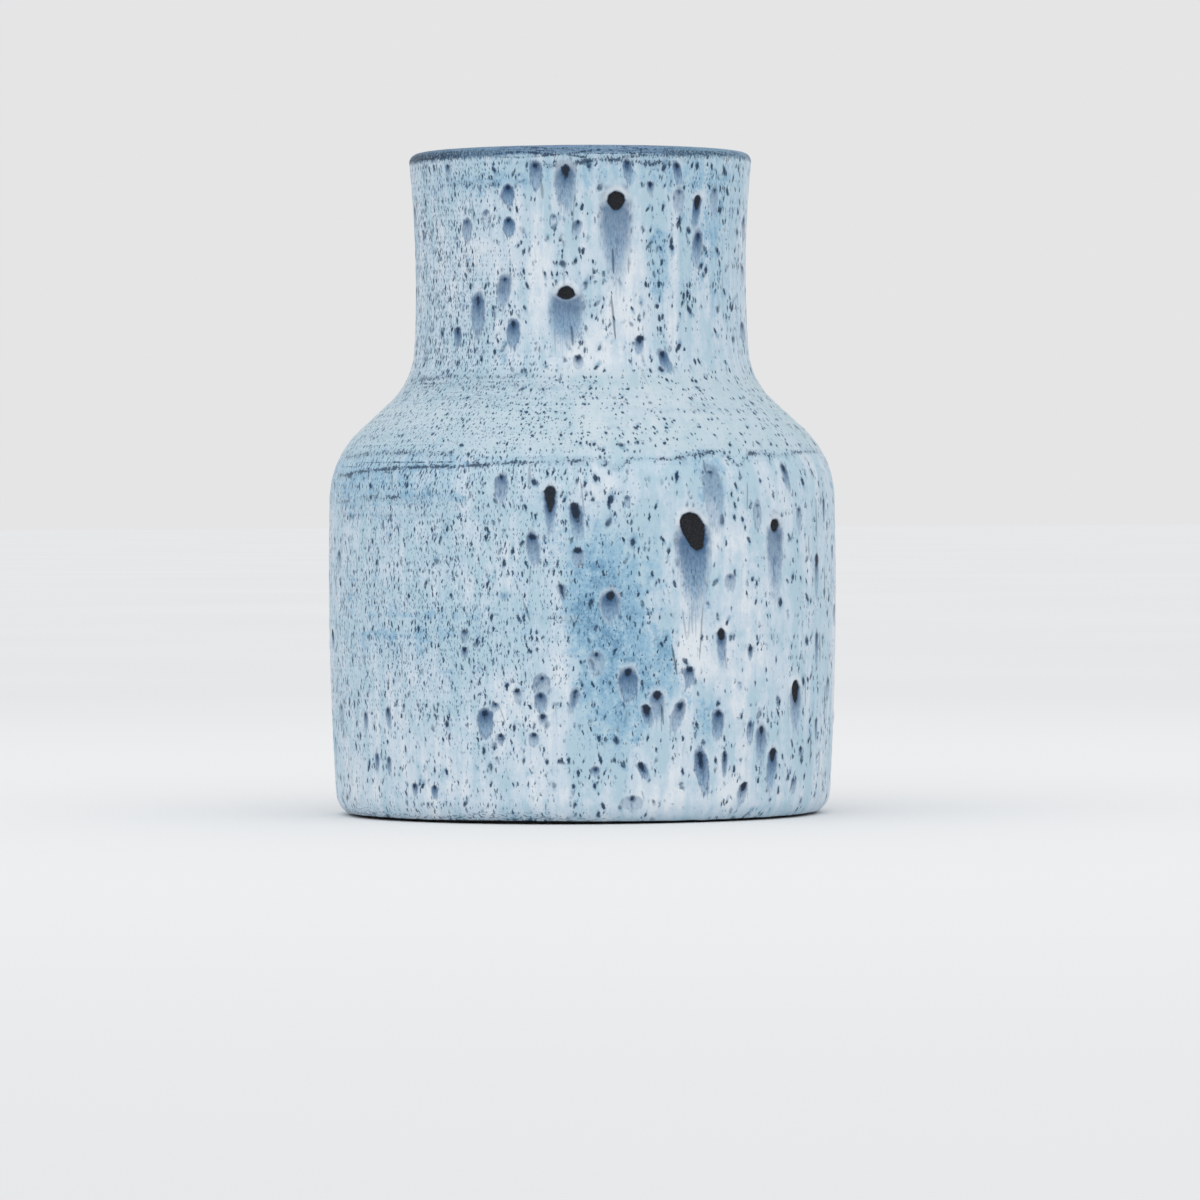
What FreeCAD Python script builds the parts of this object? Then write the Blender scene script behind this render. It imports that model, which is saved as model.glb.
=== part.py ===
import FreeCAD, Part

import math
import os

import Sketcher

# A wheel-thrown stoneware flower vase: a round belly, a sloped shoulder and a wide neck.
# It is three bonded layers of revolution about Z, standing on z = 0:
#   clay_body     the thrown and turned clay: floor, wall, lip and foot ring
#   outer_glaze   the glaze coat on the outside, from above the foot to the lip
#   liner_glaze   the glaze coat poured inside and rolled over the lip
# Every wall surface is an offset of the clay's outer face, so neighbours meet face to face.

MILLIMETRES = (
    ("belly_radius", 89.5, "clay radius at the widest point of the belly"),
    ("belly_height", 84.0, "height of the widest point"),
    ("belly_arc", 1280.0, "radius of the belly wall's long vertical curve"),
    ("shoulder_height", 111.6, "height of the shoulder curve's centre"),
    ("shoulder_arc", 33.5, "radius of the rounded shoulder"),
    ("root_arc", 28.0, "radius of the hollow where the neck rises"),
    ("neck_radius", 58.1, "clay radius at the neck's narrowest point"),
    ("neck_height", 190.0, "height of the narrowest point"),
    ("neck_arc", 414.0, "radius of the neck's long flare"),
    ("lip_height", 231.7, "height of the rounded lip's centre"),
    ("wall", 5.0, "thickness of the clay wall"),
    ("glaze_coat", 0.8, "thickness of each glaze coat"),
    ("glaze_line", 2.0, "height on the clay where the outer glaze stops"),
    ("foot_corner", 8.5, "radius of the turned corner above the foot"),
    ("foot_ring_inner", 66.0, "inner radius of the flat that the vase stands on"),
    ("foot_recess", 2.5, "depth turned out of the underside"),
    ("floor_top", 8.7, "height of the clay floor inside"),
    ("inner_corner", 18.0, "radius between the floor and the wall inside"),
)
DEGREES = (("slope_angle", 47.0, "lean of the straight shoulder slope from upright"),)
CUBIC_CENTIMETRE = 1000.0

# The points of a curve that a rule can hold, and the sketch's own origin and axes.
START = 1
END = 2
CENTRE = 3
ORIGIN = (-1, 1)
FLAT_AXIS = -1
UPRIGHT_AXIS = -2

# How far each face stands from the clay's outer face, as the end of a sheet expression.

OUTER_FACE = ""
COATED_FACE = " + Dimensions.glaze_coat"
INNER_FACE = " - Dimensions.wall"
LINED_FACE = " - Dimensions.wall - Dimensions.glaze_coat"


def make_sheet(doc):
    """The driving dimensions, one row each: name, value and meaning."""
    sheet = doc.addObject("Spreadsheet::Sheet", "Dimensions")
    for row, (alias, value, meaning) in enumerate(MILLIMETRES + DEGREES, start=1):
        sheet.set(f"A{row}", alias)
        sheet.set(f"B{row}", str(value))
        sheet.setAlias(f"B{row}", alias)
        sheet.set(f"C{row}", meaning)
    doc.recompute()
    return sheet


def face_depths(sheet):
    """How far each face stands outside the clay's outer face, in millimetres."""
    return {
        OUTER_FACE: 0.0,
        COATED_FACE: sheet.glaze_coat,
        INNER_FACE: -sheet.wall,
        LINED_FACE: -sheet.wall - sheet.glaze_coat,
    }


def negated(offset):
    """The same offset with its signs turned, for a radius that shrinks as the face moves out."""
    return offset.replace("+", "~").replace("-", "+").replace("~", "-")


class Outline:
    """A sketch on the XZ plane whose shape is held by tangency and by the sheet."""

    def __init__(self, body, name):
        self.sketch = body.newObject("Sketcher::SketchObject", name)
        plane = next(f for f in body.Origin.OriginFeatures if f.Role == "XZ_Plane")
        self.sketch.AttachmentSupport = [(plane, "")]
        self.sketch.MapMode = "FlatFace"

    def line(self, start, end):
        segment = Part.LineSegment(FreeCAD.Vector(*start, 0), FreeCAD.Vector(*end, 0))
        return self.sketch.addGeometry(segment, False)

    def arc(self, centre, radius, start_angle, end_angle):
        """An arc that runs anticlockwise between two angles in radians."""
        circle = Part.Circle(FreeCAD.Vector(*centre, 0), FreeCAD.Vector(0, 0, 1), radius)
        return self.sketch.addGeometry(Part.ArcOfCircle(circle, start_angle, end_angle), False)

    def point(self, place):
        where = self.sketch.getPoint(*place)
        return where.x, where.y

    def meet(self, first, second):
        self.sketch.addConstraint(Sketcher.Constraint("Coincident", *first, *second))

    def flow(self, first, second):
        """Two ends that meet with one tangent."""
        self.sketch.addConstraint(Sketcher.Constraint("Tangent", *first, *second))

    def rest_on(self, place, axis):
        self.sketch.addConstraint(Sketcher.Constraint("PointOnObject", *place, axis))

    def level(self, line):
        self.sketch.addConstraint(Sketcher.Constraint("Horizontal", line))

    def bind(self, index, expression):
        self.sketch.setExpression(f"Constraints[{index}]", expression)

    def hold_radius(self, arc, expression):
        radius = self.sketch.Geometry[arc].Radius
        self.bind(self.sketch.addConstraint(Sketcher.Constraint("Radius", arc, radius)), expression)

    def hold_height(self, place, expression):
        height = self.point(place)[1]
        rule = Sketcher.Constraint("DistanceY", *ORIGIN, *place, height)
        self.bind(self.sketch.addConstraint(rule), expression)

    def hold_reach(self, place, expression):
        """How far a point stands to the right of the axis."""
        rule = Sketcher.Constraint("DistanceX", *ORIGIN, *place, self.point(place)[0])
        self.bind(self.sketch.addConstraint(rule), expression)

    def hold_reach_behind(self, place, expression):
        """How far a point stands to the left of the axis."""
        rule = Sketcher.Constraint("DistanceX", *place, *ORIGIN, -self.point(place)[0])
        self.bind(self.sketch.addConstraint(rule), expression)

    def hold_lean(self, line, lean):
        """A line that rises towards the axis, leaning from upright by the sheet's angle."""
        angle = math.radians(90.0 + lean)
        rule = Sketcher.Constraint("Angle", line, angle)
        self.bind(self.sketch.addConstraint(rule), "90 deg + Dimensions.slope_angle * 1 deg")


class Wall:
    """Where the curves of one wall face lie: the same centres for every depth."""

    def __init__(self, sheet, depth):
        lean = math.radians(sheet.slope_angle)
        self.lean = lean
        self.belly_centre = (sheet.belly_radius - sheet.belly_arc, sheet.belly_height)
        rise = sheet.shoulder_height - sheet.belly_height
        between = sheet.belly_arc - sheet.shoulder_arc
        self.belly_top = math.asin(rise / between)
        self.shoulder_centre = (
            self.belly_centre[0] + between * math.cos(self.belly_top),
            sheet.shoulder_height,
        )
        self.neck_centre = (sheet.neck_radius + sheet.neck_arc, sheet.neck_height)
        self.root_centre = self.find_root_centre(sheet, lean)
        self.neck_foot = math.atan2(
            self.root_centre[1] - self.neck_centre[1],
            self.root_centre[0] - self.neck_centre[0],
        ) + 2 * math.pi
        self.lip_reach = sheet.neck_arc + sheet.wall / 2
        self.lip_dip = math.asin((sheet.lip_height - sheet.neck_height) / self.lip_reach)
        self.belly_size = sheet.belly_arc + depth
        self.shoulder_size = sheet.shoulder_arc + depth
        self.root_size = sheet.root_arc - depth
        self.neck_size = sheet.neck_arc - depth

    def find_root_centre(self, sheet, lean):
        """Centre of the arc that touches the slope line and the neck arc."""
        across = (math.cos(lean), math.sin(lean))
        along = (-across[1], across[0])
        reach = (
            across[0] * self.shoulder_centre[0]
            + across[1] * self.shoulder_centre[1]
            + sheet.shoulder_arc
            + sheet.root_arc
        )
        base = (across[0] * reach, across[1] * reach)
        gap = (base[0] - self.neck_centre[0], base[1] - self.neck_centre[1])
        half = along[0] * gap[0] + along[1] * gap[1]
        apart = sheet.neck_arc - sheet.root_arc
        slide = -half + math.sqrt(half**2 - (gap[0] ** 2 + gap[1] ** 2 - apart**2))
        return base[0] + along[0] * slide, base[1] + along[1] * slide


def at_angle(centre, radius, angle):
    return centre[0] + radius * math.cos(angle), centre[1] + radius * math.sin(angle)


def add_wall(outline, sheet, offset, bottom_angle):
    """Draws one wall face from the belly up to the lip, and gives its lowest and highest points."""
    wall = Wall(sheet, face_depths(sheet)[offset])
    belly = outline.arc(wall.belly_centre, wall.belly_size, bottom_angle, wall.belly_top)
    shoulder = outline.arc(wall.shoulder_centre, wall.shoulder_size, wall.belly_top, wall.lean)
    slope = outline.line(
        at_angle(wall.shoulder_centre, wall.shoulder_size, wall.lean),
        at_angle(wall.root_centre, wall.root_size, wall.lean + math.pi),
    )
    root = outline.arc(wall.root_centre, wall.root_size, wall.neck_foot, wall.lean + math.pi)
    neck = outline.arc(
        wall.neck_centre, wall.neck_size, math.pi - wall.lip_dip, wall.neck_foot
    )
    outline.flow((belly, END), (shoulder, START))
    outline.flow((shoulder, END), (slope, START))
    outline.flow((slope, END), (root, END))
    outline.flow((root, START), (neck, END))
    outline.hold_radius(belly, "Dimensions.belly_arc" + offset)
    outline.hold_height((belly, CENTRE), "Dimensions.belly_height")
    outline.hold_reach_behind((belly, CENTRE), "Dimensions.belly_arc - Dimensions.belly_radius")
    outline.hold_radius(shoulder, "Dimensions.shoulder_arc" + offset)
    outline.hold_height((shoulder, CENTRE), "Dimensions.shoulder_height")
    outline.hold_lean(slope, sheet.slope_angle)
    outline.hold_radius(root, "Dimensions.root_arc" + negated(offset))
    outline.hold_radius(neck, "Dimensions.neck_arc" + negated(offset))
    outline.hold_height((neck, CENTRE), "Dimensions.neck_height")
    outline.hold_reach((neck, CENTRE), "Dimensions.neck_radius + Dimensions.neck_arc")
    return (belly, START), (neck, START)


def corner_on_belly(sheet, corner_radius, corner_height, depth):
    """Centre of a corner arc that touches the belly curve from within, and its angle there."""
    belly_centre = Wall(sheet, depth).belly_centre
    apart = sheet.belly_arc + depth - corner_radius
    angle = math.asin((corner_height - belly_centre[1]) / apart)
    return at_angle(belly_centre, apart, angle), angle


def hold_at_lip(outline, place, offset):
    """A point on the line from the neck arc's centre through the lip's centre."""
    outline.hold_height(
        place,
        "Dimensions.neck_height + (Dimensions.lip_height - Dimensions.neck_height)"
        f" * (Dimensions.neck_arc{negated(offset)})"
        " / (Dimensions.neck_arc + Dimensions.wall / 2)",
    )


def add_outer_corner(outline, sheet, offset, start_angle):
    """The turned corner above the foot and the wall face that rises from it."""
    depth = face_depths(sheet)[offset]
    centre, top_angle = corner_on_belly(sheet, sheet.foot_corner, sheet.foot_corner, 0.0)
    corner = outline.arc(centre, sheet.foot_corner + depth, start_angle, top_angle)
    low, high = add_wall(outline, sheet, offset, top_angle)
    outline.flow((corner, END), low)
    outline.hold_radius(corner, "Dimensions.foot_corner" + offset)
    return corner, high


def add_inner_corner(outline, sheet, offset, lift):
    """The floor inside, its rounded corner and the wall face that rises from it."""
    depth = face_depths(sheet)[offset]
    radius = sheet.inner_corner + depth + sheet.wall
    centre, top_angle = corner_on_belly(
        sheet, radius, sheet.floor_top + sheet.inner_corner, depth
    )
    floor_height = centre[1] - radius
    floor = outline.line((0.0, floor_height), (centre[0], floor_height))
    corner = outline.arc(centre, radius, -math.pi / 2, top_angle)
    low, high = add_wall(outline, sheet, offset, top_angle)
    outline.flow((floor, END), (corner, START))
    outline.flow((corner, END), low)
    outline.level(floor)
    outline.rest_on((floor, START), UPRIGHT_AXIS)
    outline.hold_height((floor, START), "Dimensions.floor_top" + lift)
    outline.hold_radius(corner, "Dimensions.inner_corner" + negated(lift))
    return floor, high


def close_on_axis(outline, first, second):
    """The line along the axis between two floor lines' inner ends."""
    line = outline.line(outline.point(first), outline.point(second))
    outline.meet((line, START), first)
    outline.meet((line, END), second)


def lip_centre(sheet):
    wall = Wall(sheet, 0.0)
    return at_angle(wall.neck_centre, wall.lip_reach, math.pi - wall.lip_dip), wall.lip_dip


def revolve(body, outline, label):
    """Turns the sketch all the way round the Z axis."""
    feature = body.newObject("PartDesign::Revolution", label + "_turned")
    feature.Profile = outline.sketch
    feature.ReferenceAxis = (outline.sketch, ["V_Axis"])
    feature.Angle = 360.0
    body.Tip = feature


def new_body(doc, label):
    body = doc.addObject("PartDesign::Body", label)
    body.Label = label
    body.Placement = FreeCAD.Placement()
    return body


def make_clay_body(doc, sheet):
    """Floor, wall, rounded lip and foot ring, thrown and turned as one piece of clay."""
    body = new_body(doc, "clay_body")
    outline = Outline(body, "clay_profile")
    corner, outer_top = add_outer_corner(outline, sheet, OUTER_FACE, -math.pi / 2)
    floor, inner_top = add_inner_corner(outline, sheet, INNER_FACE, "")

    centre, dip = lip_centre(sheet)
    lip = outline.arc(centre, sheet.wall / 2, -dip, math.pi - dip)
    outline.flow((lip, START), outer_top)
    outline.flow((lip, END), inner_top)
    outline.hold_height((lip, CENTRE), "Dimensions.lip_height")

    corner_foot = outline.point((corner, START))
    ring = outline.line((sheet.foot_ring_inner, 0.0), corner_foot)
    bevel_top = sheet.foot_ring_inner - sheet.foot_recess
    bevel = outline.line((bevel_top, sheet.foot_recess), (sheet.foot_ring_inner, 0.0))
    recess = outline.line((0.0, sheet.foot_recess), (bevel_top, sheet.foot_recess))
    outline.flow((ring, END), (corner, START))
    outline.rest_on((ring, START), FLAT_AXIS)
    outline.level(ring)
    outline.hold_reach((ring, START), "Dimensions.foot_ring_inner")
    outline.meet((bevel, END), (ring, START))
    outline.meet((recess, END), (bevel, START))
    outline.level(recess)
    outline.rest_on((recess, START), UPRIGHT_AXIS)
    outline.hold_height((recess, START), "Dimensions.foot_recess")
    outline.hold_reach((recess, END), "Dimensions.foot_ring_inner - Dimensions.foot_recess")
    close_on_axis(outline, (recess, START), (floor, START))
    revolve(body, outline, "clay")
    return body


def make_outer_glaze(doc, sheet):
    """The coat over the outside of the clay, from the glaze line up to the lip's outer edge."""
    body = new_body(doc, "outer_glaze")
    outline = Outline(body, "outer_glaze_profile")
    start_angle = math.asin((sheet.glaze_line - sheet.foot_corner) / sheet.foot_corner)
    clay_corner, clay_top = add_outer_corner(outline, sheet, OUTER_FACE, start_angle)
    coat_corner, coat_top = add_outer_corner(outline, sheet, COATED_FACE, start_angle)
    for corner in (clay_corner, coat_corner):
        outline.hold_height((corner, CENTRE), "Dimensions.foot_corner")
    foot_edge = outline.line(
        outline.point((clay_corner, START)), outline.point((coat_corner, START))
    )
    outline.meet((foot_edge, START), (clay_corner, START))
    outline.meet((foot_edge, END), (coat_corner, START))
    outline.hold_height((clay_corner, START), "Dimensions.glaze_line")
    outline.hold_height(
        (coat_corner, START),
        "Dimensions.foot_corner - (Dimensions.foot_corner - Dimensions.glaze_line)"
        " * (Dimensions.foot_corner + Dimensions.glaze_coat) / Dimensions.foot_corner",
    )
    lip_edge = outline.line(outline.point(clay_top), outline.point(coat_top))
    outline.meet((lip_edge, START), clay_top)
    outline.meet((lip_edge, END), coat_top)
    hold_at_lip(outline, clay_top, OUTER_FACE)
    hold_at_lip(outline, coat_top, COATED_FACE)
    revolve(body, outline, "outer_glaze")
    return body


def make_liner_glaze(doc, sheet):
    """The coat over the floor and the inner wall, rolled over the lip to its outer edge."""
    body = new_body(doc, "liner_glaze")
    outline = Outline(body, "liner_glaze_profile")
    clay_floor, clay_top = add_inner_corner(outline, sheet, INNER_FACE, "")
    coat_floor, coat_top = add_inner_corner(outline, sheet, LINED_FACE, COATED_FACE)
    close_on_axis(outline, (clay_floor, START), (coat_floor, START))

    centre, dip = lip_centre(sheet)
    edges = []
    for inner_top, size, radius, offset in (
        (clay_top, sheet.wall / 2, "Dimensions.wall / 2", OUTER_FACE),
        (coat_top, sheet.wall / 2 + sheet.glaze_coat, "Dimensions.wall / 2" + COATED_FACE, COATED_FACE),
    ):
        lip = outline.arc(centre, size, -dip, math.pi - dip)
        outline.flow((lip, END), inner_top)
        outline.hold_radius(lip, radius)
        outline.hold_height((lip, CENTRE), "Dimensions.lip_height")
        hold_at_lip(outline, (lip, START), offset)
        edges.append((lip, START))
    edge = outline.line(outline.point(edges[0]), outline.point(edges[1]))
    outline.meet((edge, START), edges[0])
    outline.meet((edge, END), edges[1])
    revolve(body, outline, "liner_glaze")
    return body


def check(doc, bodies):
    """Stops the script if anything failed to compute or any solid is unsound."""
    for item in doc.Objects:
        if "Invalid" in item.State or "Error" in item.State:
            raise RuntimeError(f"{item.Name} did not compute: {item.State}")
    for body in bodies:
        sketch = next(f for f in body.Group if f.TypeId == "Sketcher::SketchObject")
        if sketch.solve() != 0 or not sketch.FullyConstrained:
            raise RuntimeError(f"{sketch.Name} is not held by its rules")
        shape = body.Shape
        if shape.isNull() or not shape.isValid() or len(shape.Solids) != 1:
            raise RuntimeError(f"{body.Label} is not one sound solid")


def report(body):
    """Prints a solid's volume, largest radius and lowest and highest points."""
    box = body.Shape.optimalBoundingBox(False, False)
    print(f"{body.Label}: {body.Shape.Volume / CUBIC_CENTIMETRE:.1f} cm3, "
          f"radius {box.XMax:.2f}, z {box.ZMin:.2f} to {box.ZMax:.2f}")


def main():
    doc = FreeCAD.newDocument("vase")
    sheet = make_sheet(doc)
    bodies = [
        make_clay_body(doc, sheet),
        make_outer_glaze(doc, sheet),
        make_liner_glaze(doc, sheet),
    ]
    doc.recompute()
    check(doc, bodies)
    os.makedirs("parts", exist_ok=True)
    for body in bodies:
        body.Shape.exportStep(f"parts/{body.Label}.step")
        report(body)


main()
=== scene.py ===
import math
from dataclasses import dataclass

import bmesh
import bpy
import numpy as np
from mathutils import Euler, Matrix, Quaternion


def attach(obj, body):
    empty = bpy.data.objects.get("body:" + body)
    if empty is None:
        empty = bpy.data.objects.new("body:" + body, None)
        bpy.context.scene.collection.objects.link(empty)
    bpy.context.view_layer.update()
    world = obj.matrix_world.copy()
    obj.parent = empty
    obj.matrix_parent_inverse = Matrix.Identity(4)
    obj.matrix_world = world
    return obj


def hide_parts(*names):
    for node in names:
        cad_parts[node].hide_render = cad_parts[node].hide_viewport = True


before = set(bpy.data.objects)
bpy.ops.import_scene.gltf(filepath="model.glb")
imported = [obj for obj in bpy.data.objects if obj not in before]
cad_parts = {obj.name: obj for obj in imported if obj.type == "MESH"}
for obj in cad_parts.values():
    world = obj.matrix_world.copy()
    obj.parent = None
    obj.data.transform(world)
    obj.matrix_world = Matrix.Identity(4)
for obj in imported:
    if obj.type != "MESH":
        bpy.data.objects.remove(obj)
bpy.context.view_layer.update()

# A wheel-thrown vase: dark stoneware under a runny, speckled pale blue glaze.
# Lengths in this script are millimetres until they reach a mesh, a light or the camera.
MM = 0.001

# The clay's outline, as the CAD part has it. Each glaze face is an offset of the same curves.
BELLY_RADIUS = 89.5
BELLY_HEIGHT = 84.0
BELLY_ARC = 1280.0
SHOULDER_HEIGHT = 111.6
SHOULDER_ARC = 33.5
SLOPE_LEAN = math.radians(47.0)
ROOT_ARC = 28.0
NECK_RADIUS = 58.1
NECK_HEIGHT = 190.0
NECK_ARC = 414.0
LIP_HEIGHT = 231.7
WALL = 5.0
COAT = 0.8
GLAZE_LINE = 1.1  # it crept a little lower than the CAD coat, which stops at 2.0
FOOT_CORNER = 8.5
FOOT_RING_INNER = 66.0
FOOT_RECESS = 2.5
FLOOR_TOP = 8.7
INNER_CORNER = 18.0

COLUMNS = 400  # mesh points round the vase
ROW_STEP = 1.42  # distance between rows of them
SEED = 11


# ---------------------------------------------------------------- outline


@dataclass
class Arc:
    """Part of a circle in the (radius, height) plane, walked from one angle to another."""

    centre: tuple
    size: float
    first: float
    last: float

    @property
    def length(self):
        return self.size * abs(self.last - self.first)

    @property
    def step(self):
        return min(ROW_STEP, self.size * 0.2)

    def at(self, walked):
        turn = math.copysign(1.0, self.last - self.first)
        angle = self.first + turn * walked / self.size
        across = np.cos(angle)
        up = np.sin(angle)
        return (
            self.centre[0] + self.size * across,
            self.centre[1] + self.size * up,
            turn * across,
            turn * up,
        )

    def back(self):
        return Arc(self.centre, self.size, self.last, self.first)


@dataclass
class Line:
    """A straight stretch in the (radius, height) plane."""

    start: tuple
    end: tuple

    @property
    def length(self):
        return math.dist(self.start, self.end)

    @property
    def step(self):
        return ROW_STEP

    def at(self, walked):
        across = (self.end[0] - self.start[0]) / self.length
        up = (self.end[1] - self.start[1]) / self.length
        still = np.zeros_like(walked)
        return (
            self.start[0] + across * walked,
            self.start[1] + up * walked,
            still + up,
            still - across,
        )

    def back(self):
        return Line(self.end, self.start)


class Outline:
    """Curves joined end to end. Distances along it are in millimetres from its start."""

    def __init__(self, curves):
        self.curves = curves
        self.starts = np.concatenate([[0.0], np.cumsum([c.length for c in curves])])
        self.length = float(self.starts[-1])

    def at(self, along):
        """Radius, height and outward normal at each distance along the outline."""
        along = np.clip(np.asarray(along, float), 0.0, self.length)
        which = np.clip(np.searchsorted(self.starts, along, "right") - 1, 0, len(self.curves) - 1)
        found = np.zeros((4, along.size))
        for number, curve in enumerate(self.curves):
            here = which == number
            if here.any():
                found[:, here] = curve.at(along[here] - self.starts[number])
        return found

    def rows(self, first, last, coarser=1.0):
        """Distances for mesh rows between two places, closer together on tight curves."""
        rows = [first]
        for number, curve in enumerate(self.curves):
            low = max(first, self.starts[number])
            high = min(last, self.starts[number + 1])
            if high - low > 1e-6:
                count = max(1, math.ceil((high - low) / (curve.step * coarser)))
                rows.extend(low + (high - low) * (k + 1) / count for k in range(count))
        return np.array(rows)


def on_circle(centre, size, angle):
    return centre[0] + size * math.cos(angle), centre[1] + size * math.sin(angle)


class Wall:
    """The centres that the wall's curves share, found from the driving dimensions."""

    def __init__(self):
        self.belly = (BELLY_RADIUS - BELLY_ARC, BELLY_HEIGHT)
        between = BELLY_ARC - SHOULDER_ARC
        self.belly_top = math.asin((SHOULDER_HEIGHT - BELLY_HEIGHT) / between)
        self.shoulder = on_circle(self.belly, between, self.belly_top)
        self.neck = (NECK_RADIUS + NECK_ARC, NECK_HEIGHT)
        self.root = self.find_root()
        self.neck_foot = 2 * math.pi + math.atan2(
            self.root[1] - self.neck[1], self.root[0] - self.neck[0]
        )
        self.lip_dip = math.asin((LIP_HEIGHT - NECK_HEIGHT) / (NECK_ARC + WALL / 2))
        self.lip = on_circle(self.neck, NECK_ARC + WALL / 2, math.pi - self.lip_dip)

    def find_root(self):
        """Centre of the hollow that touches the slope and the neck."""
        across = (math.cos(SLOPE_LEAN), math.sin(SLOPE_LEAN))
        along = (-across[1], across[0])
        reach = across[0] * self.shoulder[0] + across[1] * self.shoulder[1]
        reach += SHOULDER_ARC + ROOT_ARC
        base = (across[0] * reach, across[1] * reach)
        gap = (base[0] - self.neck[0], base[1] - self.neck[1])
        half = along[0] * gap[0] + along[1] * gap[1]
        apart = NECK_ARC - ROOT_ARC
        slide = -half + math.sqrt(half**2 - (gap[0] ** 2 + gap[1] ** 2 - apart**2))
        return base[0] + along[0] * slide, base[1] + along[1] * slide

    def corner(self, size, height, depth):
        """Centre of a corner that touches the belly from within, and its angle there."""
        apart = BELLY_ARC + depth - size
        angle = math.asin((height - self.belly[1]) / apart)
        return on_circle(self.belly, apart, angle), angle

    def side(self, depth, joint):
        """A face from its lower corner up to the lip, this far outside the clay."""
        root_start = SLOPE_LEAN + math.pi
        slope_start = on_circle(self.shoulder, SHOULDER_ARC + depth, SLOPE_LEAN)
        slope_end = on_circle(self.root, ROOT_ARC - depth, root_start)
        return [
            Arc(self.belly, BELLY_ARC + depth, joint, self.belly_top),
            Arc(self.shoulder, SHOULDER_ARC + depth, self.belly_top, SLOPE_LEAN),
            Line(slope_start, slope_end),
            Arc(self.root, ROOT_ARC - depth, root_start, self.neck_foot),
            Arc(self.neck, NECK_ARC - depth, self.neck_foot, math.pi - self.lip_dip),
        ]

    def outside(self, depth, corner_start):
        """The outer face from the foot's corner up to the lip, at this depth over the clay."""
        centre, joint = self.corner(FOOT_CORNER, FOOT_CORNER, 0.0)
        corner = Arc(centre, FOOT_CORNER + depth, corner_start, joint)
        return [corner, *self.side(depth, joint)]

    def over_lip(self, depth):
        """The rounded lip, then the inner face down to the middle of the floor."""
        inner = WALL + depth
        size = INNER_CORNER - depth
        centre, joint = self.corner(size, FLOOR_TOP + INNER_CORNER, -inner)
        floor = centre[1] - size
        return [
            Arc(self.lip, WALL / 2 + depth, -self.lip_dip, math.pi - self.lip_dip),
            *(curve.back() for curve in reversed(self.side(-inner, joint))),
            Arc(centre, size, joint, -math.pi / 2),
            Line((centre[0], floor), (0.0, floor)),
        ]


WALL_CURVES = Wall()
EDGE_ANGLE = math.asin((GLAZE_LINE - FOOT_CORNER) / FOOT_CORNER)
OUTSIDE = WALL_CURVES.outside(COAT, EDGE_ANGLE)
GLAZED = Outline(OUTSIDE + WALL_CURVES.over_lip(COAT))
LIP_START = float(GLAZED.starts[len(OUTSIDE)])
LIP_BAND = 6.0  # how far down each side of the lip its dark band reaches
LIP_TOP = LIP_START + (WALL / 2 + COAT) * (math.pi / 2 + WALL_CURVES.lip_dip)
FLOOR_MIDDLE = GLAZED.length


def along_at_height(height):
    """Distance along the outside of the glaze at which it reaches this height."""
    walked = np.linspace(0.0, LIP_START, 2000)
    return float(np.interp(height, GLAZED.at(walked)[1], walked))


SLOPE_START = along_at_height(126.0)
SLOPE_STOP = along_at_height(158.0)


# ---------------------------------------------------------------- glaze marks

MARK_GAP = 3.2


@dataclass
class Place:
    """A place on the outside of the glaze."""

    angle: float  # degrees round the vase from its front, rising to the right
    height: float

    def __post_init__(self):
        self.along = along_at_height(self.height)
        self.radius = float(GLAZED.at([self.along])[0][0])

    def beside(self, other):
        """How far round the vase the other place is."""
        turn = math.radians((self.angle - other.angle + 180.0) % 360.0 - 180.0)
        return abs(turn) * min(self.radius, other.radius)

    def upper_and_lower(self, other):
        return (self, other) if self.along > other.along else (other, self)


@dataclass
class Mark(Place):
    """Where the glaze drew back and ran: a dark head, and a thin blue trail below it."""

    head: float  # half-width of the dark head
    drop: float  # how far the head reaches down
    wide: float  # half-width of the trail
    long: float  # length of the trail
    tint: float  # how strong the trail's blue is
    bare: float = 0.0  # 1 where the head is bare clay
    slant: float = 0.0  # sideways lean of the trail, to the right going down
    outline: float = 0.0  # dark edge round the trail
    tilt: float = 0.0  # further lean of the head

    @property
    def side_reach(self):
        return max(self.head * 2.6, self.wide * 1.5) + 0.8

    @property
    def up_reach(self):
        return max(self.head * 2.6, self.wide * 0.8) + 0.8

    @property
    def down_reach(self):
        return max(self.drop * 1.5, self.long * 1.25) + 1.0

    def clear_of(self, other):
        """True if there is a gap between the two marks' rooms."""
        upper, lower = self.upper_and_lower(other)
        below = upper.along - lower.along
        return (
            self.beside(other) > self.side_reach + other.side_reach + MARK_GAP
            or below > upper.down_reach + lower.up_reach + MARK_GAP
        )


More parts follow.
